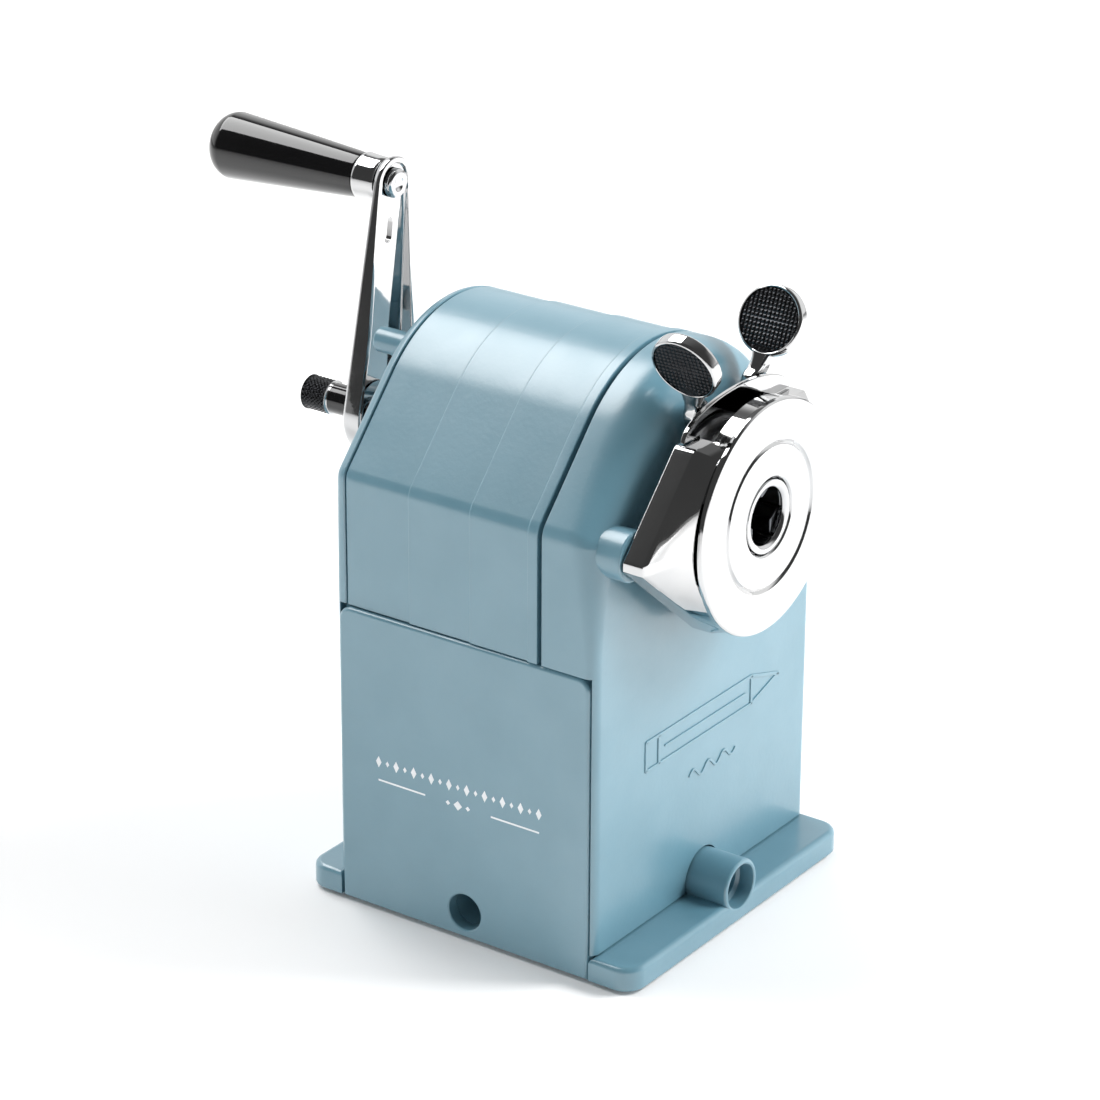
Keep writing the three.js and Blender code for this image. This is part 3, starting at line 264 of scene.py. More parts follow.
def piece(name, mesh, material, body, slot, *nodes, weld=True):
    """A finished piece, in metres, riding on its body in place of its CAD nodes."""
    bm = bmesh.new()
    bm.from_mesh(mesh)
    if weld:
        bmesh.ops.remove_doubles(bm, verts=bm.verts, dist=0.0005)
    bmesh.ops.scale(bm, vec=(MM, MM, MM), verts=bm.verts)
    for face in bm.faces:
        face.smooth = True
    finished = bpy.data.meshes.new(name)
    bm.to_mesh(finished)
    bm.free()
    finished.set_sharp_from_angle(angle=math.radians(32))
    obj = bpy.data.objects.new(name, finished)
    for one in material if isinstance(material, (list, tuple)) else [material]:
        finished.materials.append(one)
    bpy.context.scene.collection.objects.link(obj)
    modifier = obj.modifiers.new("even shading", "WEIGHTED_NORMAL")
    modifier.keep_sharp = True
    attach(obj, body)
    if nodes:
        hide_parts(*nodes)
    return obj


# ---- materials ----
def rgb(r, g, b):
    """A colour given as it looks on a screen, 0 to 255."""
    linear = [c / 255 / 12.92 if c <= 10 else ((c / 255 + 0.055) / 1.055) ** 2.4 for c in (r, g, b)]
    return (*linear, 1)


class Finish:
    """A procedural material: its shader, and the nodes that vary its colour, gloss and relief."""

    def __init__(self, name, **sockets):
        self.material = bpy.data.materials.new(name)
        self.material.use_nodes = True
        self.tree = self.material.node_tree
        self.shader = self.tree.nodes["Principled BSDF"]
        for socket, value in sockets.items():
            self.shader.inputs[socket.replace("_", " ")].default_value = value
        self.place = self.tree.nodes.new("ShaderNodeTexCoord").outputs["Object"]
        self.normal = None

    def link(self, a, b):
        self.tree.links.new(a, b)

    def noise(self, scale, detail=3, stretch=None):
        place = self.place
        if stretch:
            mapping = self.tree.nodes.new("ShaderNodeMapping")
            mapping.inputs["Scale"].default_value = stretch
            self.link(place, mapping.inputs["Vector"])
            place = mapping.outputs["Vector"]
        node = self.tree.nodes.new("ShaderNodeTexNoise")
        node.inputs["Scale"].default_value = scale
        node.inputs["Detail"].default_value = detail
        self.link(place, node.inputs["Vector"])
        return node.outputs["Fac"]

    def ramp(self, value, *stops):
        node = self.tree.nodes.new("ShaderNodeValToRGB")
        elements = node.color_ramp.elements
        while len(elements) < len(stops):
            elements.new(0.5)
        for element, (position, colour) in zip(elements, stops):
            element.position = position
            element.color = colour if isinstance(colour, tuple) else (colour, colour, colour, 1)
        self.link(value, node.inputs["Fac"])
        return node.outputs["Color"]

    def colour(self, value, *stops):
        self.link(self.ramp(value, *stops), self.shader.inputs["Base Color"])

    def gloss(self, value, *stops):
        self.link(self.ramp(value, *stops), self.shader.inputs["Roughness"])

    def bump(self, value, strength, distance):
        node = self.tree.nodes.new("ShaderNodeBump")
        node.inputs["Strength"].default_value = strength
        node.inputs["Distance"].default_value = distance
        self.link(value, node.inputs["Height"])
        if self.normal:
            self.link(self.normal, node.inputs["Normal"])
        self.normal = node.outputs["Normal"]
        self.link(self.normal, self.shader.inputs["Normal"])


def paint_finish():
    f = Finish("paint", IOR=1.95, Coat_Weight=0.25, Coat_Roughness=0.12)
    f.colour(f.noise(90, 4), (0.35, rgb(96, 138, 154)), (0.65, rgb(101, 142, 158)))
    f.gloss(f.noise(160, 3), (0.3, 0.3), (0.7, 0.36))
    f.bump(f.noise(1100, 2), 0.05, 0.0004)
    return f.material


def metal_finish(name, dark, light, low, high, brushed=None, scale=60):
    f = Finish(name, Metallic=1.0)
    f.colour(f.noise(scale, 4), (0.35, rgb(*dark)), (0.65, rgb(*light)))
    f.gloss(f.noise(scale * 3, 4, brushed), (0.3, low), (0.7, high))
    f.bump(f.noise(scale * 8, 2, brushed), 0.03 if brushed is None else 0.12, 0.0002)
    return f.material


def gloss_finish(name, dark, light, low, high, bump=0.02, **sockets):
    f = Finish(name, **sockets)
    f.colour(f.noise(70, 4), (0.35, rgb(*dark)), (0.65, rgb(*light)))
    f.gloss(f.noise(150, 4), (0.3, low), (0.7, high))
    f.bump(f.noise(600, 2), bump, 0.0003)
    return f.material


PAINT = paint_finish()
CHROME = metal_finish("chrome", (200, 201, 202), (212, 212, 212), 0.04, 0.075)
# The knurled chrome is coloured dark grey: painted shade and painted reflection standing in for the light the
# knurl's grooves trap.
DARKENED_KNURL = metal_finish("knurled chrome painted dark", (44, 45, 47), (64, 65, 67), 0.2, 0.28)
STEEL = metal_finish("steel", (150, 152, 154), (172, 173, 175), 0.26, 0.36, brushed=(1, 0.06, 1))
HARD_STEEL = metal_finish("hard steel", (96, 99, 103), (118, 121, 124), 0.22, 0.32)
BRONZE = metal_finish("bronze", (150, 112, 62), (176, 136, 82), 0.3, 0.42, brushed=(1, 0.1, 1))
BLACK = gloss_finish("black gloss", (9, 9, 10), (14, 14, 15), 0.06, 0.1, Coat_Weight=0.6, Coat_Roughness=0.03)
RUBBER = gloss_finish("rubber", (26, 26, 27), (36, 36, 37), 0.7, 0.85, bump=0.3)
PRINT = gloss_finish("white print", (232, 236, 238), (244, 246, 247), 0.4, 0.5)

# ---- the body's arch ----
TOUCH = math.atan2(KINK_Z - AXIS_Z, HALF_W) + math.acos(ARCH_R / math.hypot(HALF_W, KINK_Z - AXIS_Z))
TOUCH_Z = AXIS_Z + ARCH_R * math.sin(TOUCH)
KINK_R = 4.5


def arch_points():
    """From the right foot over the crown to the left: x, z, the outward normal, and the rise from 0 to 1."""
    right = []
    reach = KINK_R * math.tan(TOUCH / 2)
    for z in (0, 30, LEDGE_Z, 62, 66, 70, 74, 78):
        right.append((HALF_W, z, 1, 0))
    for k in range(7):
        angle = TOUCH * k / 6
        right.append((HALF_W - KINK_R * (1 - math.cos(angle)), KINK_Z - reach + KINK_R * math.sin(angle),
                      math.cos(angle), math.sin(angle)))
    x0, z0 = right[-1][:2]
    for k in (1, 2, 3):
        right.append((lerp(x0, ARCH_R * math.cos(TOUCH), k / 4), lerp(z0, TOUCH_Z, k / 4),
                      math.cos(TOUCH), math.sin(TOUCH)))
    for k in range(18):
        angle = lerp(TOUCH, math.pi / 2, k / 18)
        nx, nz = math.cos(angle), math.sin(angle)
        right.append((ARCH_R * nx, AXIS_Z + ARCH_R * nz, nx, nz))
    left = [(-x, z, -nx, nz) for x, z, nx, nz in reversed(right)]
    points = right + [(0, AXIS_Z + ARCH_R, 0, 1)] + left
    return [(x, z, nx, nz, smooth((z - 60) / (TOUCH_Z - 60))) for x, z, nx, nz in points]


ARCH = arch_points()


def value_at(value, rise):
    return value(rise) if callable(value) else value


def arch_ring(y, inset, bottom=TOP):
    ring = []
    for x, z, nx, nz, rise in ARCH:
        d = value_at(inset, rise)
        ring.append((x - nx * d, value_at(y, rise), max(z - nz * d, bottom)))
    return ring


def arch_ends(face, inward, inset, edge, steps=8):
    """Rings that round the arch's edge at a face; the round may grow with the rise."""
    rings = []
    for k in range(steps + 1):
        angle = k * math.pi / 2 / steps
        rings.append(arch_ring(lambda rise: face + inward * edge(rise) * (1 - math.sin(angle)),
                               lambda rise: inset + edge(rise) * (1 - math.cos(angle))))
    return rings


def panel_pockets():
    lo, hi = PANEL_IN - GAP, HALF_W + 1
    return [block(x0, x1, PANEL_FRONT - GAP, PANEL_REAR + GAP, 0, LEDGE_Z + GAP)
            for x0, x1 in ((-hi, -lo), (lo, hi))]


# ---- base ----
TUBE_Z, TUBE_R, BORE_R, MOUTH_R = 6.7, 5.2, 3.5, 4.2
SIDE_HOLE_Z = 5.2
SCREWS = [(s * 20, y) for s in (-1, 1) for y in (-24.8, 24.8)]
FEET = [(s * 28.5, y) for s in (-1, 1) for y in (-31.2, 30.8)]


def base_casting():
    y0, y1, notch = -36.5, 36, -PANEL_IN + GAP
    corners = [(-HALF_W, y0), (HALF_W, y0), (HALF_W, y1), (-HALF_W, y1), (-HALF_W, PANEL_REAR + GAP),
               (notch, PANEL_REAR + GAP), (notch, PANEL_FRONT - GAP), (-HALF_W, PANEL_FRONT - GAP)]
    outline = rounded(corners, [4, 4, 4, 4, 0, 0, 0, 0], 6)
    body = plate(outline, 0, 4.6, "Z", 0.4, 4, 1.1)
    front_tube = turned(rounded([(0, y0), (TUBE_R, y0), (TUBE_R, -16.5), (0, -16.5)], [0, 0.55, 0.3, 0]),
                        (0, TUBE_Z), steps=56)
    side_tube = rod(TUBE_R, notch, notch + 20, (0, SIDE_HOLE_Z), "X", 48)
    mouth = [(0, y0 - 1), (MOUTH_R + 0.35, y0 - 1), (MOUTH_R + 0.35, y0 - 0.01), (MOUTH_R + 0.1, y0 + 0.12),
             (MOUTH_R, y0 + 0.35), (MOUTH_R, y0 + 3), (BORE_R, y0 + 3.5), (BORE_R, -18.5), (0, -18.5)]
    holes = [block(-40, 40, -40, 40, -6, 0), turned(mouth, (0, TUBE_Z), steps=56),
             rod(BORE_R, notch - 1, notch + 18, (0, SIDE_HOLE_Z), "X", 40)]
    for x, y in SCREWS:
        holes.append(turned([(0, -1), (3.3, -1), (3.3, 2.2), (1.7, 2.2), (1.7, 6), (0, 6)], (x, y), "Z", 32))
    holes += [rod(4.8, -1, 1.5, at, "Z", 40) for at in FEET]
    return cut(join(body, front_tube, side_tube), *holes)


piece("base", base_casting(), PAINT, "housing", "paint", "base_casting")
NAMES = ["left_front", "left_rear", "right_front", "right_rear"]
for name, at in zip(NAMES, FEET):
    foot = turned([(0, -0.6), (2.6, -0.6), (2.9, -0.35), (3.3, -0.35), (3.6, -0.6), (4.5, -0.6), (4.5, 1.2),
                   (0, 1.2)], at, "Z", 48, 0.12)
    piece("rubber_foot_" + name, foot, RUBBER, "housing", "rubber", "foot_" + name)


def slotted_screw(head_r, head, shank_r, tip, at, axis, inward=1):
    """A cheese-head screw with a slot across its head, from head[0], its face, to tip."""
    face, under = head
    profile = [(0, face), (head_r, face), (head_r, under), (shank_r, under), (shank_r, tip), (0, tip)]
    body = turned(rounded(profile, [0, 0.35, 0.1, 0, 0.3, 0]), at, axis, 36)
    u, v = at
    w, depth = 0.35, 0.7 * inward
    a, b = sorted((face - inward, face + depth))
    low, high = v - head_r - 1, v + head_r + 1
    outline = [(u - w, low), (u + w, low), (u + w, high), (u - w, high)]
    return cut(body, plate(outline, a, b, axis, 0))


for name, at in zip(NAMES, SCREWS):
    piece("base_bolt_" + name, slotted_screw(3, (0.2, 1.9), 1.4, 12, at, "Z"), STEEL, "housing", "steel",
          "base_screw_" + name)

# ---- front casting ----
RIM = 3
SPIGOT = 2.1


def plinth(y0, y1):
    return block(-PANEL_IN + GAP, PANEL_IN - GAP, y0, y1, TOP, 12.5)


def screw_holes(y):
    return [rod(1.7, TOP - 1, 12.3, (s * 20, y), "Z", 24) for s in (-1, 1)]


def front_casting():
    lip = [arch_ring(SEAM_Y, 0.25), arch_ring(SEAM_Y - 0.1, 0.08), arch_ring(SEAM_Y - 0.3, 0)]
    shell = skin([*lip, *arch_ends(FRONT_Y, 1, 0, lambda rise: 2.2 + 6 * rise)])
    hollow = skin([arch_ring(FRONT_IN, lambda rise: RIM + 2.5 * rise, -1), arch_ring(FRONT_IN + 3, RIM, -1),
                   arch_ring(SEAM_Y + 1, RIM, -1)])
    spigot = skin([arch_ring(y, SPIGOT, LEDGE_Z + 0.6) for y in (SEAM_Y - 1, SEAM_Y + 2.2)])
    inside = skin([arch_ring(SEAM_Y - 2, RIM + 0.2, 40), arch_ring(SEAM_Y + 3, RIM + 0.2, 40)])
    body = join(cut(shell, hollow, block(-HALF_W - 1, 0, FRONT_IN, SEAM_Y + 1, 0, LEDGE_Z + GAP)),
                cut(spigot, inside), plinth(FRONT_Y + 0.57, -20.44),
                rod(24.2, FRONT_IN - 0.53, -21.13, steps=72))
    boss = [(0, -31.5), (4.6, -31.5), (4.6, -20.5), (0, -20.5)]
    bosses = [turned(boss, (s * ROD_X, ROD_Z), steps=40, radius=0.4) for s in (-1, 1)]
    body = join(body, *bosses)
    holes = [rod(21.9, FRONT_IN, FRONT_IN + 4, steps=72), rod(9, FRONT_Y - 1, FRONT_IN + 1, steps=48),
             rod(TUBE_R + GAP, FRONT_Y - 1, -8, (0, TUBE_Z), steps=48),
             block(-TUBE_R - GAP, TUBE_R + GAP, FRONT_Y - 1, -8, 0, TUBE_Z),
             *panel_pockets(), *screw_holes(-24.8)]
    for s in (-1, 1):
        holes.append(rod(2.3, -33, -19, (s * ROD_X, ROD_Z), steps=32))
        holes.append(rod(3.85, -20.5, SEAM_Y + 1, (s * ROD_X, ROD_Z), steps=32))
    return cut(body, *holes)


piece("front_wall", front_casting(), PAINT, "housing", "paint", "front_casting")


def stroke(points, width=0.7, lo=FRONT_Y - 0.22, hi=FRONT_Y + 0.2):
    """A raised line on the front face along (x, z) points."""
    bodies = []
    for (x0, z0), (x1, z1) in zip(points, points[1:]):
        ahead = Vector((x1 - x0, z1 - z0)).normalized()
        side = Vector((-ahead.y, ahead.x)) * (width / 2)
        a, b = Vector((x0, z0)) - ahead * width * 0.25, Vector((x1, z1)) + ahead * width * 0.25
        corners = [tuple(corner) for corner in (a - side, b - side, b + side, a + side)]
        outline = rounded(corners, width * 0.3, 3)
        bodies.append(plate(outline, lo, hi, "Y", 0.12, 2, 0))
    return bodies


def front_emblem():
    """A plain drawing of a pencil over a wavy line."""
    z, left, tip = 38, -19, 24
    low, high, wood = z - 2.8, z + 2.8, tip - 9
    pencil = [(left, low), (wood, low), (tip, z), (wood, high), (left, high), (left, low)]
    bodies = stroke(pencil)
    for x in (wood, left + 4):
        bodies += stroke([(x, low), (x, high)])
    bodies += stroke([(left + 6, z), (tip - 11, z)], 0.45)
    wave = [(-5 + 15 * k / 36, 28.5 + math.sin(k * math.pi / 6) * 0.9) for k in range(37)]
    return together(*bodies, *stroke(wave, 0.5))


piece("front_emblem", front_emblem(), PAINT, "housing", "paint", weld=False)

# ---- rear casting ----
LUG_X, LUG_Z = -4, AXIS_Z + 16.1


def hub_boss():
    boss = turned([(0, 28), (11, 28), (10.9, 30), (9.4, 37), (9, 38), (0, 38)], steps=64, radius=0.5)
    lug = turned([(0, 28), (2.4, 28), (2.4, 41.5), (0, 41.5)], (LUG_X, LUG_Z), steps=36, radius=0.5)
    web = [(28, AXIS_Z + 6), (37, AXIS_Z + 6), (37.2, AXIS_Z + 8.4), (35.6, AXIS_Z + 10.5),
           (35.4, AXIS_Z + 12.2), (36.6, AXIS_Z + 13.6), (40.4, LUG_Z - 1), (40.4, LUG_Z), (28, LUG_Z)]
    return join(boss, lug, plate(rounded(web, 0.2), LUG_X - 1.6, LUG_X + 1.6, "X", 0.2))


def rear_casting():
    inset = 0.9
    lip = [arch_ring(COVER_REAR + GAP, inset + 0.2), arch_ring(COVER_REAR + GAP + 0.2, inset)]
    shell = skin([*lip, *arch_ends(WALL_REAR, -1, inset, lambda rise: 1.6 + 0.6 * rise, 6)])
    low = TOP + 7
    frame_ring = [arch_ring(21, SPIGOT, TOP + 0.05), arch_ring(27.2, SPIGOT, TOP + 0.05),
                  arch_ring(27.2, SPIGOT + RIM, low), arch_ring(21, SPIGOT + RIM, low)]
    tray = block(-HALF_W - 1, PANEL_IN - GAP, 19.5, REAR_IN - 0.03, 0, LEDGE_Z + GAP)
    rim = cut(skin(frame_ring, closed=True), tray, *panel_pockets(), *screw_holes(24.8))
    screws = [rod(1.4, HALF_W - 7, HALF_W, (23.7, z), "X", 24) for z in (65.5, 77.5)]
    wall = join(shell, hub_boss(), plinth(26.9, 28.5))
    return together(cut(wall, rod(6.7, REAR_IN - 1, 49, steps=48), *panel_pockets()), cut(rim, *screws),
                    cut(plinth(20.5, 26.85), *screw_holes(24.8)))


piece("rear_wall", rear_casting(), PAINT, "housing", "paint", "rear_casting")


# ---- top cover ----
def top_cover():
    bottom, front = LEDGE_Z + GAP, -15.8
    outer = [arch_ring(front + dy, inset, bottom) for dy, inset in ((0, 0.25), (0.1, 0.08), (0.3, 0))]
    for i, y in enumerate((-13.6, -1, 12.4)):
        proud, low = i * 0.3, (i + 1) * 0.3
        for dy, inset in ((-0.3, proud), (-0.12, proud + 0.05), (0, proud + 0.16), (0.02, low)):
            outer.append(arch_ring(y + dy, inset, bottom))
    outer += [arch_ring(COVER_REAR - 0.25, 0.9, bottom), arch_ring(COVER_REAR, 1.1, bottom)]
    hollow = skin([arch_ring(front - 1, 1.8, bottom - 1), arch_ring(COVER_REAR + 1, 1.8, bottom - 1)])
    heads = [rod(2.5, HALF_W - 3, HALF_W + 1, (23.7, z), "X", 32) for z in (65.5, 77.5)]
    return cut(skin(outer), hollow, *heads)


piece("top_bands", top_cover(), PAINT, "housing", "paint", "top_cover")
for i, z in enumerate((65.5, 77.5), 1):
    screw = slotted_screw(2.2, (HALF_W - 0.9, HALF_W - 1.95), 1.1, HALF_W - 4.9, (23.7, z), "X", -1)
    piece(f"cover_bolt_{i}", screw, STEEL, "housing", "steel", f"cover_screw_{i}")


# ---- side panel and drawer ----
RIVETS = [(-14, 24), (14, 24), (-14, 44), (14, 44)]


def panel(bottom, lo, hi):
    corners = [(PANEL_FRONT, bottom), (PANEL_REAR, bottom), (PANEL_REAR, LEDGE_Z), (PANEL_FRONT, LEDGE_Z)]
    edges = (0.75, 0.1) if lo < 0 else (0.1, 0.75)
    return plate(rounded(corners, [0, 0, 2.5, 2.5], 6), lo, hi, "X", edges[0], 4, edges[1])


side_hole = turned([(0, -37), (BORE_R + 0.3, -37), (BORE_R + 0.3, -35.01), (BORE_R + 0.06, -34.85),
                    (BORE_R, -34.6), (BORE_R, -31), (0, -31)], (0, SIDE_HOLE_Z), "X", 56)
seats = [rod(1.9, -33.8, -31, at, "X", 28) for at in RIVETS]
piece("drawer_panel", cut(panel(0, -HALF_W, -PANEL_IN), side_hole, *seats), PAINT, "drawer", "paint",
      "drawer_front")
piece("fixed_panel", panel(TOP, PANEL_IN, HALF_W), PAINT, "housing", "paint", "side_panel")


def drawer_print():
    """Plain rules and lozenges where such a drawer has its lettering."""
    lo, hi = -HALF_W - 0.03, -HALF_W + 0.1
    bodies = []

    def add(outline):
        bodies.append(plate(outline, lo, hi, "X", 0.02, 1, 0))

    for y0, y1 in ((8.6, 19.1), (-16.4, -5.9)):
        add([(y0, 26.1), (y1, 26.1), (y1, 26.45), (y0, 26.45)])
    for k in range(19):
        y = lerp(-16.3, 19, k / 18)
        h = 1.15 if k % 2 == 0 else 0.6
        w = 0.62 if k % 2 == 0 else 0.4
        add([(y - w, 29.9), (y, 29.9 - h), (y + w, 29.9), (y, 29.9 + h)])
    for dy, h in ((-2.2, 0.5), (0, 0.95), (2.2, 0.5)):
        y = 1.35 + dy
        add([(y - h, 26.3), (y, 26.3 - h), (y + h, 26.3), (y, 26.3 + h)])
    return together(*bodies)


piece("drawer_print", drawer_print(), PRINT, "drawer", "paint", weld=False)


def tray():
    x0, x1, y0, y1 = -32.3, 31.3, -24, 24
    z0, z1, t = 12.8, 55.1, 1

    def box_ring(z, inset, r):
        xa, xb, ya, yb = x0 + inset, x1 - inset, y0 + inset, y1 - inset
        corners = [(xa, ya), (xb, ya), (xb, yb), (xa, yb)]
        return [(x, y, z) for x, y in rounded(corners, r, 4)]

    rings = [box_ring(z0, 1, 1.5), box_ring(z0 + 0.3, 0.3, 2), box_ring(z0 + 1, 0, 2.2),
             box_ring(z1 - 0.15, 0, 2.2),
             box_ring(z1, 0.2, 2.1), box_ring(z1, t - 0.2, 1.6), box_ring(z1 - 0.15, t, 1.5),
             box_ring(z0 + t + 0.8, t, 1.5), box_ring(z0 + t, t + 0.8, 1)]
    return cut(skin(rings), *[rod(1.9, x0 - 1, x0 + 2, at, "X", 24) for at in RIVETS])


piece("drawer_box", tray(), STEEL, "drawer", "steel", "drawer_tray")
for i, at in enumerate(RIVETS, 1):
    rivet = turned([(0, -33.5), (1.6, -33.5), (1.6, -31), (2.6, -31), (2.3, -30.4), (1.3, -30.2), (0, -30.2)],
                   at, "X", 32)
    piece(f"tray_rivet_{i}", rivet, STEEL, "drawer", "steel", f"drawer_rivet_{i}")

# ---- chuck ----
CORNERS = [(0, 17.2), (17.3, 17.2), (32.7, 0.9), (32.7, -0.9), (11, -19.3), (0, -21.9)]
FULL = [*CORNERS, *[(-x, z) for x, z in reversed(CORNERS[1:-1])]][::-1]
SHAPE = rounded(FULL, [1.5, 1, 0.5, 0.5, 1.2, 0, 1.2, 0.5, 0.5, 1], 4)


def cover_angles():
    """Angles that hit the outline's corners, with even ones between them."""
    corners = sorted(math.atan2(z, x) for x, z in SHAPE)
    even = [i * math.pi / 48 - math.pi + 0.01 for i in range(96)]
    return sorted(corners + [a for a in even if min(abs(a - c) for c in corners) > 0.02])


COVER_ANGLES = cover_angles()


def reach(angle, inset=0.0):
    """How far the eared outline, moved inwards, lies from the axis at an angle."""
    ux, uz = math.cos(angle), math.sin(angle)
    best = math.inf
    for (x0, z0), (x1, z1) in zip(SHAPE, SHAPE[1:] + SHAPE[:1]):
        length = math.hypot(x1 - x0, z1 - z0)
        nx, nz = (z1 - z0) / length, -(x1 - x0) / length
        facing = nx * ux + nz * uz
        if facing > 1e-6:
            best = min(best, (nx * x0 + nz * z0 - inset) / facing)
    return best


def chuck_ring(y, inset, blend=0.0, r=EDGE_R):
    """The eared outline, or a blend of it and the round front."""
    ring = []
    for angle in COVER_ANGLES:
        d = lerp(reach(angle, inset), r, blend)
        ring.append((d * math.cos(angle), y, AXIS_Z + d * math.sin(angle)))
    return ring


def chuck_cover():
    t = 0.8
    outer = [chuck_ring(CHUCK_REAR, 0.2), chuck_ring(CHUCK_REAR - 0.08, 0.06),
             chuck_ring(CHUCK_REAR - 0.25, 0), chuck_ring(CHUCK_RIM + 0.3, 0),
             chuck_ring(CHUCK_RIM + 0.1, 0.03)]
    for blend in (0.04, 0.1, 0.3, 0.5, 0.7, 0.9, 1):
        outer.append(chuck_ring(lerp(CHUCK_RIM, COVER_FRONT, blend), 0, blend))
    inner = skin([chuck_ring(CHUCK_REAR + 1, t), chuck_ring(CHUCK_RIM + t, t),
                  chuck_ring(COVER_FRONT + t, t, 1, EDGE_R - t)])
    drum = rod(EDGE_R - 0.03, COVER_FRONT + 0.15, -36.4, steps=96)
    drum_hollow = rod(EDGE_R - t, COVER_FRONT + t, -35.4, steps=96)
    lip = rod(17, DISC_Y, COVER_FRONT + 2 * t, steps=64)
    opening = rounded([(-12.3, 90.5), (12.3, 90.5), (12.3, 124), (-12.3, 124)], 0.3)
    top = plate(opening, -36.4, CHUCK_REAR + 1, "Y", 0)
    return cut(join(skin(outer), drum), inner, drum_hollow, lip, top)


piece("chuck_shell", chuck_cover(), CHROME, "carriage", "chrome", "chuck_cover")


def back_plate():
    inside = [(x, z) for x, _, z in chuck_ring(0, 1.1)]
    neck = block(-12, 12, -33.4, -32.4, AXIS_Z, AXIS_Z + 18.2)
    angles = [k * math.pi / 24 for k in range(25)]
    brow = [(16.7 * math.cos(a), AXIS_Z + 17.5 + 5.4 * math.sin(a)) for a in angles]
    body = join(plate(inside, -33.4, -32.4, "Y", 0.15, 2), neck, plate(brow, -33.4, -32.4, "Y", 0.25, 3))
    holes = [rod(1.4, -35, -31, (s * ROD_X, ROD_Z), steps=24) for s in (-1, 1)]
    return cut(body, rod(5.2, -35, -31, steps=48), *holes)


piece("back_plate", back_plate(), CHROME, "carriage", "chrome", "chuck_back_plate")
FACE = [(7.1, 1), (21.5, 1), (21.5, 0.5), (21.42, 0.24), (21.15, 0.06), (20.8, 0), (14.15, 0), (14, 0.05),
        (13.65, 0.5), (13.5, 0.58), (13.35, 0.5), (13, 0.1), (12.8, 0.05), (12.2, 0.1), (11.4, 0.26),
        (10.4, 0.46), (9.6, 0.52), (8.8, 0.44), (8.2, 0.24), (7.8, 0.16), (7.45, 0.2), (7.2, 0.4), (7.1, 0.6)]
disc = turned([(r, DISC_Y + d) for r, d in FACE], steps=128)
piece("chuck_disc", disc, CHROME, "carriage", "chrome", "face_disc")
EYELET = [(5.2, 1), (6.8, 1), (6.8, 0.5), (6.7, 0.3), (6.4, 0.2), (6.0, 0.22), (5.6, 0.4), (5.32, 0.62),
          (5.2, 0.85)]
rim = turned([(r, DISC_Y + d) for r, d in EYELET], steps=96)
piece("eyelet", rim, CHROME, "carriage", "chrome", "bore_eyelet")

GUIDE = (-38.9, -33.7)


def jaw_turn(i):
    return Matrix.Translation((0, 0, AXIS_Z)) @ Matrix.Rotation(math.radians(-90 + i * 120), 4, "Y")


def jaw_guide():
    slots = [moved(block(0, 13.4, -40, -33, -2.8, 2.8), jaw_turn(i)) for i in range(3)]
    return cut(tube(16.1, 5.8, *GUIDE, steps=72), *slots)


piece("jaw_plate", jaw_guide(), STEEL, "carriage", "steel", "jaw_guide")
for i in range(3):
    wide = 3.2 + 2.5 / math.sqrt(3)
    outline = [(3.2, 0), (wide, -2.5), (9.5, -2.5), (9.5, 2.5), (wide, 2.5)]
    outline = rounded(outline, [0.5, 0.3, 0.3, 0.3, 0.3], 3)
    jaw = moved(plate(outline, -38.8, -33.8, "Y", 0.3), jaw_turn(i))
    piece(f"gripping_jaw_{i + 1}", jaw, HARD_STEEL, f"jaw_{i + 1}", "hard_steel", f"chuck_jaw_{i + 1}")
sleeve = turned([(5.2, -32.1), (7, -32.1), (7, -29.2), (9.5, -29.2), (9.5, -28.4), (5.2, -28.4)],
                steps=64, radius=0.15)
piece("sleeve", sleeve, STEEL, "carriage", "steel", "chuck_sleeve")

# ---- guide rods ----
for s, side in ((-1, "left"), (1, "right")):
    at = (s * ROD_X, ROD_Z)
    profile = [(0, -34.8), (1.1, -34.8), (1.1, -32.1), (2, -32.1), (2, 19.2), (1.6, 19.2), (1.6, 19.6),
               (2, 19.7), (2, 20), (0, 20)]
    piece(f"slide_rod_{side}", turned(profile, at, steps=40, radius=0.12), STEEL, "carriage", "steel",
          f"guide_rod_{side}")
    nut = turned([(1.4, -34.9), (2.2, -34.9), (2.2, -33.7), (1.4, -33.7)], at, steps=6, radius=0.12)
    piece(f"stud_nut_{side}", nut, STEEL, "carriage", "steel", f"rod_nut_{side}")
    collar = tube(3.6, 2.3, 16.8, 19.6, at, steps=48, edge=0.3)
    piece(f"end_collar_{side}", collar, STEEL, "carriage", "steel", f"rod_collar_{side}")
    spring = moved(coil(3.1, 0.42, 35.8, 8), Matrix.Translation((at[0], -19.75, at[1])))
    spring = piece(f"return_spring_{side}", spring, STEEL, "housing", "steel", f"feed_spring_{side}")
    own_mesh(spring)

# ---- thumb levers ----
PAD_R, PAD_T, PAD_ORBIT, PAD_Y, STEM_Y = 6.4, 2.8, 33.2, -31.4, -30.6
KNURL_R = 5.7
LEAN = 24  # degrees each lever leans from upright


def diamond(u, v, pitch):
    """Height of a field of small pyramids, 0 to 1."""
    ridges = [1 - abs(((w / pitch) % 1) * 2 - 1) for w in (u, v)]
    return min(ridges)


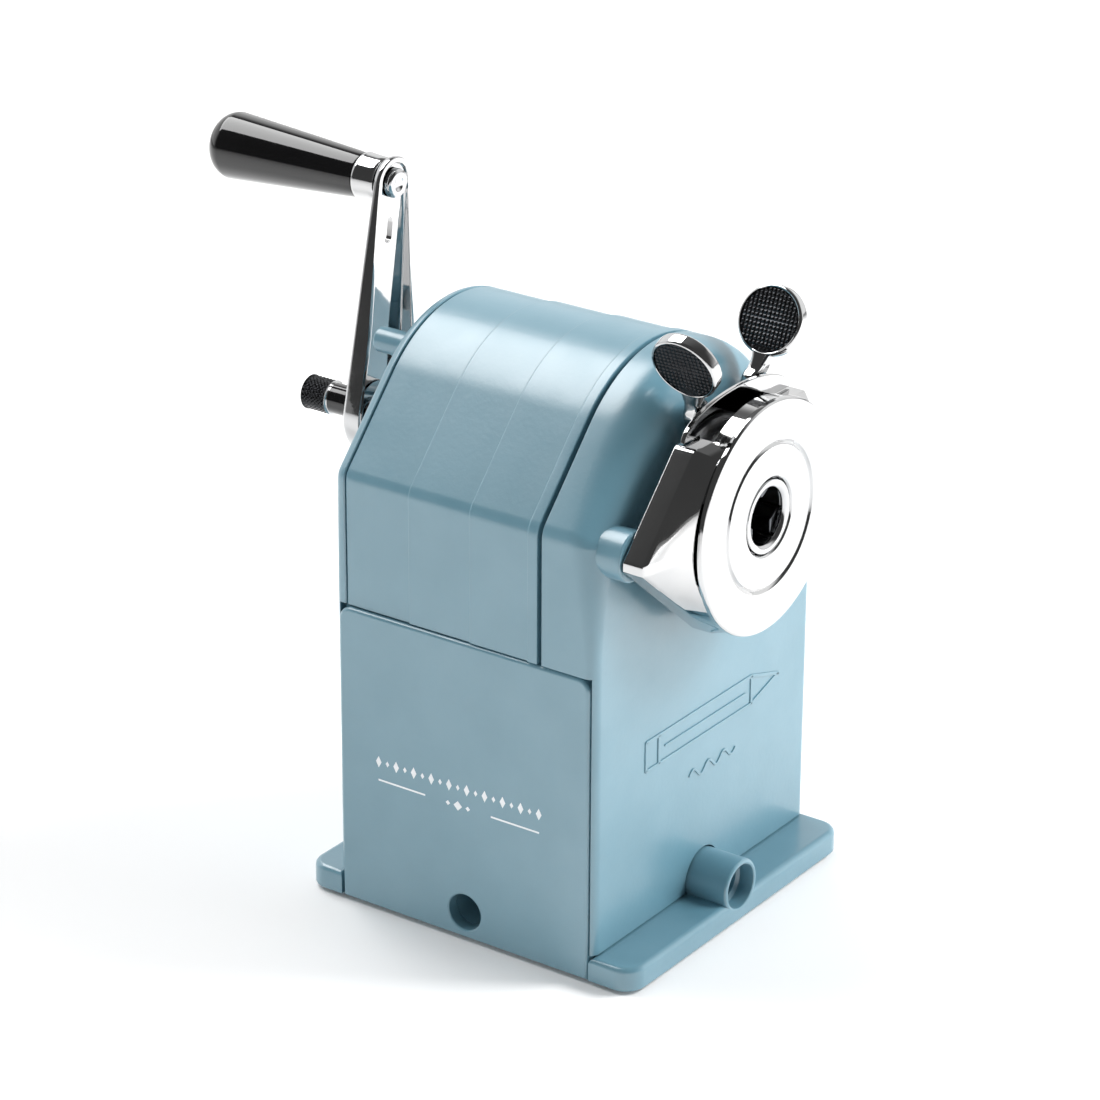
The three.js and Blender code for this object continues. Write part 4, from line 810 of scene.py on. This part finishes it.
def pad():
    """A thumb pad: a smooth rim round a knurled field, on both faces."""
    steps = 176
    rings = []

    def ring(r, half, knurl=0.0):
        points = []
        for u, v in circle(r, steps):
            grown = half + math.copysign(knurl * diamond(u, v, 0.8), half)
            points.append((grown, PAD_Y + u, PAD_ORBIT + v))
        rings.append(points)

    half = PAD_T / 2
    for sign in (-1, 1):
        field = [(k * KNURL_R / 40 + 0.01, sign * (half - 0.38), 0.24) for k in range(41)]
        rim = [(KNURL_R + 0.06, sign * (half - 0.38), 0), (KNURL_R + 0.14, sign * (half - 0.14), 0),
               (KNURL_R + 0.26, sign * (half - 0.08), 0), (6.12, sign * (half - 0.12), 0),
               (6.3, sign * (half - 0.28), 0), (6.38, sign * (half - 0.5), 0),
               (PAD_R, sign * (half - 0.75), 0)]
        for entry in (field + rim if sign < 0 else (field + rim)[::-1]):
            ring(*entry)
    return skin(rings)


def stem():
    rings = []
    for z, hx, hy, y in ((11, 2.1, 1.3, STEM_Y), (12, 2.2, 1.4, STEM_Y), (19.6, 2.2, 1.4, STEM_Y),
                         (20.4, 2.6, 1.4, STEM_Y), (22.4, 2.6, 1.4, STEM_Y), (22.9, 2.5, 1.4, STEM_Y),
                         (23.4, 2.2, 1.4, STEM_Y), (24.2, 1.6, 1.45, STEM_Y - 0.2),
                         (25.4, 1.4, 1.6, STEM_Y - 0.5), (27, 1.35, 2, STEM_Y - 0.7),
                         (28.2, 1.15, 2.8, PAD_Y), (29.5, 0.8, 3, PAD_Y)):
        ring = []
        for u, v in circle(1, 32):
            grow = (abs(u) ** 5 + abs(v) ** 5) ** (-1 / 5)
            ring.append((hx * u * grow, y + hy * v * grow, z))
        rings.append(ring)
    return skin(rings)


def lever(s):
    y0 = -31.8 if s < 0 else -30.5
    ring = turned([(7.3, y0), (12, y0), (12, y0 + 1), (7.3, y0 + 1)], (0, 0), steps=64, radius=0.2)
    lean = Matrix.Rotation(math.radians(LEAN * s), 4, "Y")
    return moved(join(ring, stem(), pad()), Matrix.Translation((0, 0, AXIS_Z)) @ lean)


def in_knurl(point, s):
    """Whether a point, in metres, lies on a pad's knurled field."""
    upright = Matrix.Rotation(math.radians(-LEAN * s), 4, "Y") @ (Vector(point) / MM - Vector((0, 0, AXIS_Z)))
    from_centre = math.hypot(upright.y - PAD_Y, upright.z - PAD_ORBIT)
    return from_centre < KNURL_R + 0.1 and abs(upright.x) < PAD_T / 2 - 0.05


for s, side in ((-1, "left"), (1, "right")):
    obj = piece(f"thumb_lever_{side}", lever(s), [CHROME, DARKENED_KNURL], f"lever_{side}", "chrome", f"lever_{side}",
                weld=False)
    # Faces on the knurled field take the dark grey chrome, which is painted shade.
    for face in obj.data.polygons:
        face.material_index = 1 if in_knurl(face.center, s) else 0
SPRING_UP = 17.5
half = SPRING_UP * math.tan(math.radians(LEAN)) - 3.2
spring = moved(coil(1.1, 0.25, 2 * half, 5, "X"), Matrix.Translation((-half, STEM_Y, AXIS_Z + SPRING_UP)))
spring = piece("spread_spring", spring, STEEL, "carriage", "steel", "lever_spring")
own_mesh(spring)

# ---- crank ----
CRANK_REACH = math.hypot(CRANK_OVER, CRANK_UP)
CRANK_ANGLE = math.atan2(CRANK_OVER, CRANK_UP)
TIP = (CRANK_OVER, AXIS_Z + CRANK_UP)
CRANK_T = 1.2


def crank_outline(inset):
    hub_r, tip_r = 8.4 - inset, 4.9 - inset
    lean, spread = math.pi / 2 - CRANK_ANGLE, math.acos(3.5 / CRANK_REACH)
    hub = [lerp(lean + spread, lean - spread + 2 * math.pi, k / 36) for k in range(37)]
    tip = [lerp(lean - spread, lean + spread, k / 24) for k in range(25)]
    hub = [(hub_r * math.cos(a), AXIS_Z + hub_r * math.sin(a)) for a in hub]
    tip = [(TIP[0] + tip_r * math.cos(a), TIP[1] + tip_r * math.sin(a)) for a in tip]

    def between(a, b):
        return [(lerp(a[0], b[0], k / 12), lerp(a[1], b[1], k / 12)) for k in range(1, 12)]

    return hub + between(hub[-1], tip[0]) + tip + between(tip[-1], hub[0])


def crank_lip(z):
    return lerp(43.5, 45.6, min(max((z - AXIS_Z - CRANK_UP / 3) / (CRANK_UP * 2 / 3), 0), 1))


def on_arm(d):
    """A place on the arm, so far from the hub towards the tip."""
    return d * math.sin(CRANK_ANGLE), AXIS_Z + d * math.cos(CRANK_ANGLE)


def crank_arm():
    rings = []
    web = CRANK_REAR - CRANK_T
    for inset, dy in ((1.1, 0), (0.6, 0.12), (0.2, 0.5), (0, 1.1)):
        rings.append([(x, CRANK_REAR - dy, z) for x, z in crank_outline(inset)])
    for inset, dy in ((0, 0.3), (0.12, 0.06), (0.35, 0), (0.85, 0), (1.08, 0.06), (1.2, 0.3)):
        rings.append([(x, crank_lip(z) + dy, z) for x, z in crank_outline(inset)])
    for inset, y in ((1.2, web - 0.5), (1.35, web - 0.15), (1.7, web)):
        rings.append([(x, y, z) for x, z in crank_outline(inset)])
    body = skin(rings)
    slot = []
    for end, turn in ((CRANK_REACH - 7.6, 0), (CRANK_REACH - 10.2, math.pi)):
        x, z = on_arm(end)
        angles = [turn - CRANK_ANGLE + k * math.pi / 10 for k in range(11)]
        slot += [(x + 1.1 * math.cos(a), z + 1.1 * math.sin(a)) for a in angles]
    holes = [rod(4.3, 43, 49, steps=48), rod(2.2, 43, 49, TIP, steps=36), plate(slot, 43, 49, "Y", 0)]
    return cut(body, *holes)


piece("crank_lever", crank_arm(), CHROME, "crank", "chrome", "crank_arm")
hub = turned([(4.3, 38.3), (6.2, 38.3), (6.2, 39.6), (5.9, 39.8), (5.9, 40.4), (6.1, 40.6), (5.5, 45.6),
              (5.4, 46), (4.3, 46)], steps=64, radius=0.15)
piece("crank_boss", hub, CHROME, "crank", "chrome", "crank_hub")
SHAFT = [(0, 18.8), (5.6, 18.8), (5.6, 24.2), (4, 24.2), (4, 47.8), (0, 47.8)]
shaft = cut(turned(SHAFT, steps=56, radius=0.25), rod(1.7, 18, 49, steps=28))
piece("main_shaft", shaft, STEEL, "crank", "steel", "crank_shaft")
AXLE = [(0, 45.1), (0.9, 45.05), (1.3, 44.85), (1.7, 44.75), (2.3, 44.8), (2.7, 45.05), (2.8, 45.4),
        (2.8, 46), (1.9, 46), (1.9, 70.1), (1.7, 70.3), (0, 70.3)]
piece("grip_rivet", turned(AXLE, TIP, steps=48), CHROME, "crank", "steel", "grip_axle")
FERRULE = [(2.2, 47.8), (3.9, 47.8), (4.1, 47.9), (4.22, 48.1), (4.3, 49), (4.42, 51.6), (4.5, 51.9),
           (4.5, 52.3), (4.4, 52.55), (4.2, 52.6), (2.2, 52.6)]
piece("ferrule", turned(FERRULE, TIP, steps=64), CHROME, "grip", "chrome", "grip_ferrule")


def grip():
    profile = [(0, 71.3), (2.2, 71.3), (2.2, 52.9), (3.8, 52.9), (4.1, 53), (4.2, 53.3)]
    for k in range(1, 12):
        t = k / 12
        profile.append((lerp(4.2, 6.35, t ** 0.96), lerp(52.9, 82.44, t)))
    for k in range(15):
        angle = k * math.pi / 28
        profile.append((6.35 * math.cos(angle) if k < 14 else 0, 82.44 + 4.76 * math.sin(angle)))
    return turned(profile, TIP, steps=72)


piece("handle_grip", grip(), BLACK, "grip", "black_grip", "grip")


def knob():
    """The point adjuster: a diamond-knurled head on a smooth collar."""
    rings = []
    steps = 168

    def ring(r, y, knurl=0.0):
        points = []
        for k in range(steps):
            angle = 2 * math.pi * k / steps
            turn = angle / (2 * math.pi) * 26
            high = diamond(turn + (y - 55) / 0.8, turn - (y - 55) / 0.8, 1)
            d = r - knurl * (1 - high)
            points.append((d * math.cos(angle), y, AXIS_Z + d * math.sin(angle)))
        rings.append(points)

    for r, y in ((1.7, 48.1), (2.6, 48.1), (2.85, 48.25), (2.9, 48.5), (2.9, 55.1), (3, 55.3)):
        ring(r, y)
    for k in range(37):
        ring(3.3, 55.5 + k * 0.15, 0.26 * min(1, k / 2, (36 - k) / 2))
    for r, y in ((3.1, 61.15), (2.8, 61.3), (0.9, 61.3), (0.7, 61.1), (0, 61.1), (0, 56.5), (1.7, 56.5)):
        ring(max(r, 0.001), y)
    return skin(rings, closed=True)


obj = piece("point_adjuster", knob(), [CHROME, DARKENED_KNURL, BLACK], "adjuster", "chrome", "adjuster_knob",
            weld=False)
for face in obj.data.polygons:
    x, y, z = face.center / MM
    r = math.hypot(x, z - AXIS_Z)
    # The knurled head's faces take the dark grey chrome, which is painted shade.
    if r > 2.7 and 55.4 < y < 61:
        face.material_index = 1
    elif r > 2.5 and y < 55.2:
        face.material_index = 2

# ---- what stays as the CAD made it ----
KEPT = {"front_bush": BRONZE, "rear_bush": BRONZE, "ring_gear": HARD_STEEL, "cutter_carrier": STEEL,
        "cutter_shaft": STEEL, "drive_pinion": HARD_STEEL, "stop_rod": STEEL, "helical_cutter": HARD_STEEL}
for node, material in KEPT.items():
    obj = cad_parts[node]
    if not obj.material_slots:
        obj.data.materials.append(material)
    for entry in obj.material_slots:
        entry.material = material

# ---- floor, lights and camera ----
def floor():
    bm = bmesh.new()
    bmesh.ops.create_grid(bm, x_segments=8, y_segments=8, size=6)
    bmesh.ops.translate(bm, verts=bm.verts, vec=(0, 0, -0.0006))
    mesh = bpy.data.meshes.new("floor")
    bm.to_mesh(mesh)
    bm.free()
    f = Finish("pale floor", Specular_IOR_Level=0.1)
    f.colour(f.noise(3, 2), (0.3, rgb(250, 250, 250)), (0.7, rgb(252, 252, 252)))
    f.gloss(f.noise(5, 2), (0.3, 0.8), (0.7, 0.9))
    obj = bpy.data.objects.new("floor", mesh)
    mesh.materials.append(f.material)
    bpy.context.scene.collection.objects.link(obj)


floor()


def area_light(name, place, aim, width, height, power, glossy=True):
    data = bpy.data.lights.new(name, "AREA")
    data.shape = "RECTANGLE"
    data.size, data.size_y, data.energy = width, height, power
    obj = bpy.data.objects.new(name, data)
    obj.location = place
    obj.rotation_euler = (Vector(aim) - Vector(place)).to_track_quat("-Z", "Y").to_euler()
    obj.visible_glossy = glossy
    obj.visible_camera = False
    bpy.context.scene.collection.objects.link(obj)


CENTRE = (0, 0, 0.07)
area_light("overhead", (0.04, 0.55, 0.92), (0.04, 0.0, 0.07), 0.8, 0.7, 9.4)
area_light("front_fill", (0.9, -1.5, 0.5), CENTRE, 1.3, 1.3, 22, glossy=False)
area_light("floor_pool", (0.42, -0.5, 0.6), (0.2, -0.14, 0), 0.3, 0.3, 6, glossy=False)
area_light("left_fill", (-1.6, 0.2, 0.45), CENTRE, 1.4, 1.2, 10, glossy=False)


def studio_world():
    """A white backdrop at the right and rear, and a darker room to the front and left."""
    world = bpy.data.worlds.new("studio")
    bpy.context.scene.world = world
    world.use_nodes = True
    tree = world.node_tree
    nodes, links = tree.nodes, tree.links
    background = nodes["Background"]

    def node(kind, **settings):
        made = nodes.new(kind)
        for key, value in settings.items():
            setattr(made, key, value)
        return made

    place = node("ShaderNodeTexCoord").outputs["Generated"]
    parts = node("ShaderNodeSeparateXYZ")
    links.new(place, parts.inputs[0])

    def ease(value, low, high, out_low, out_high):
        made = node("ShaderNodeMapRange", interpolation_type="SMOOTHSTEP")
        for key, number in zip(("From Min", "From Max", "To Min", "To Max"), (low, high, out_low, out_high)):
            made.inputs[key].default_value = number
        links.new(value, made.inputs["Value"])
        return made.outputs["Result"]

    def math_node(operation, a, b):
        made = node("ShaderNodeMath", operation=operation)
        for socket, value in zip(made.inputs, (a, b)):
            if isinstance(value, (int, float)):
                socket.default_value = value
            else:
                links.new(value, socket)
        return made.outputs[0]

    across = math_node("ADD", math_node("MULTIPLY", parts.outputs["X"], 0.816),
                       math_node("MULTIPLY", parts.outputs["Y"], 0.577))
    backdrop = math_node("MULTIPLY", ease(across, -0.15, 0.25, 0.0, 1.0),
                         ease(parts.outputs["Z"], 0.5, 0.7, 1.0, 0.1))
    room = math_node("ADD", backdrop, 0.06)
    camera_ray = node("ShaderNodeLightPath").outputs["Is Camera Ray"]
    other_ray = math_node("SUBTRACT", 1.0, camera_ray)
    strength = math_node("ADD", camera_ray, math_node("MULTIPLY", other_ray, room))
    background.inputs["Color"].default_value = (1, 1, 1, 1)
    links.new(strength, background.inputs["Strength"])


studio_world()
bpy.context.scene.view_settings.view_transform = "Standard"

camera = bpy.data.objects.new("camera", bpy.data.cameras.new("camera"))
camera.data.lens, camera.data.sensor_width = 136, 36
camera.data.clip_start = 0.01
forward, right = Vector((0.7477, 0.5287, -0.4017)).normalized(), Vector((0.5774, -0.8165, 0)).normalized()
up = right.cross(forward)
roll = math.radians(0.27)
axis_x = math.cos(roll) * right + math.sin(roll) * up
axis_y = -math.sin(roll) * right + math.cos(roll) * up
turn = Matrix((axis_x, axis_y, -forward)).transposed().to_4x4()
camera.matrix_world = Matrix.Translation((-0.5631, -0.3919, 0.3648)) @ turn
bpy.context.scene.collection.objects.link(camera)
bpy.context.scene.camera = camera
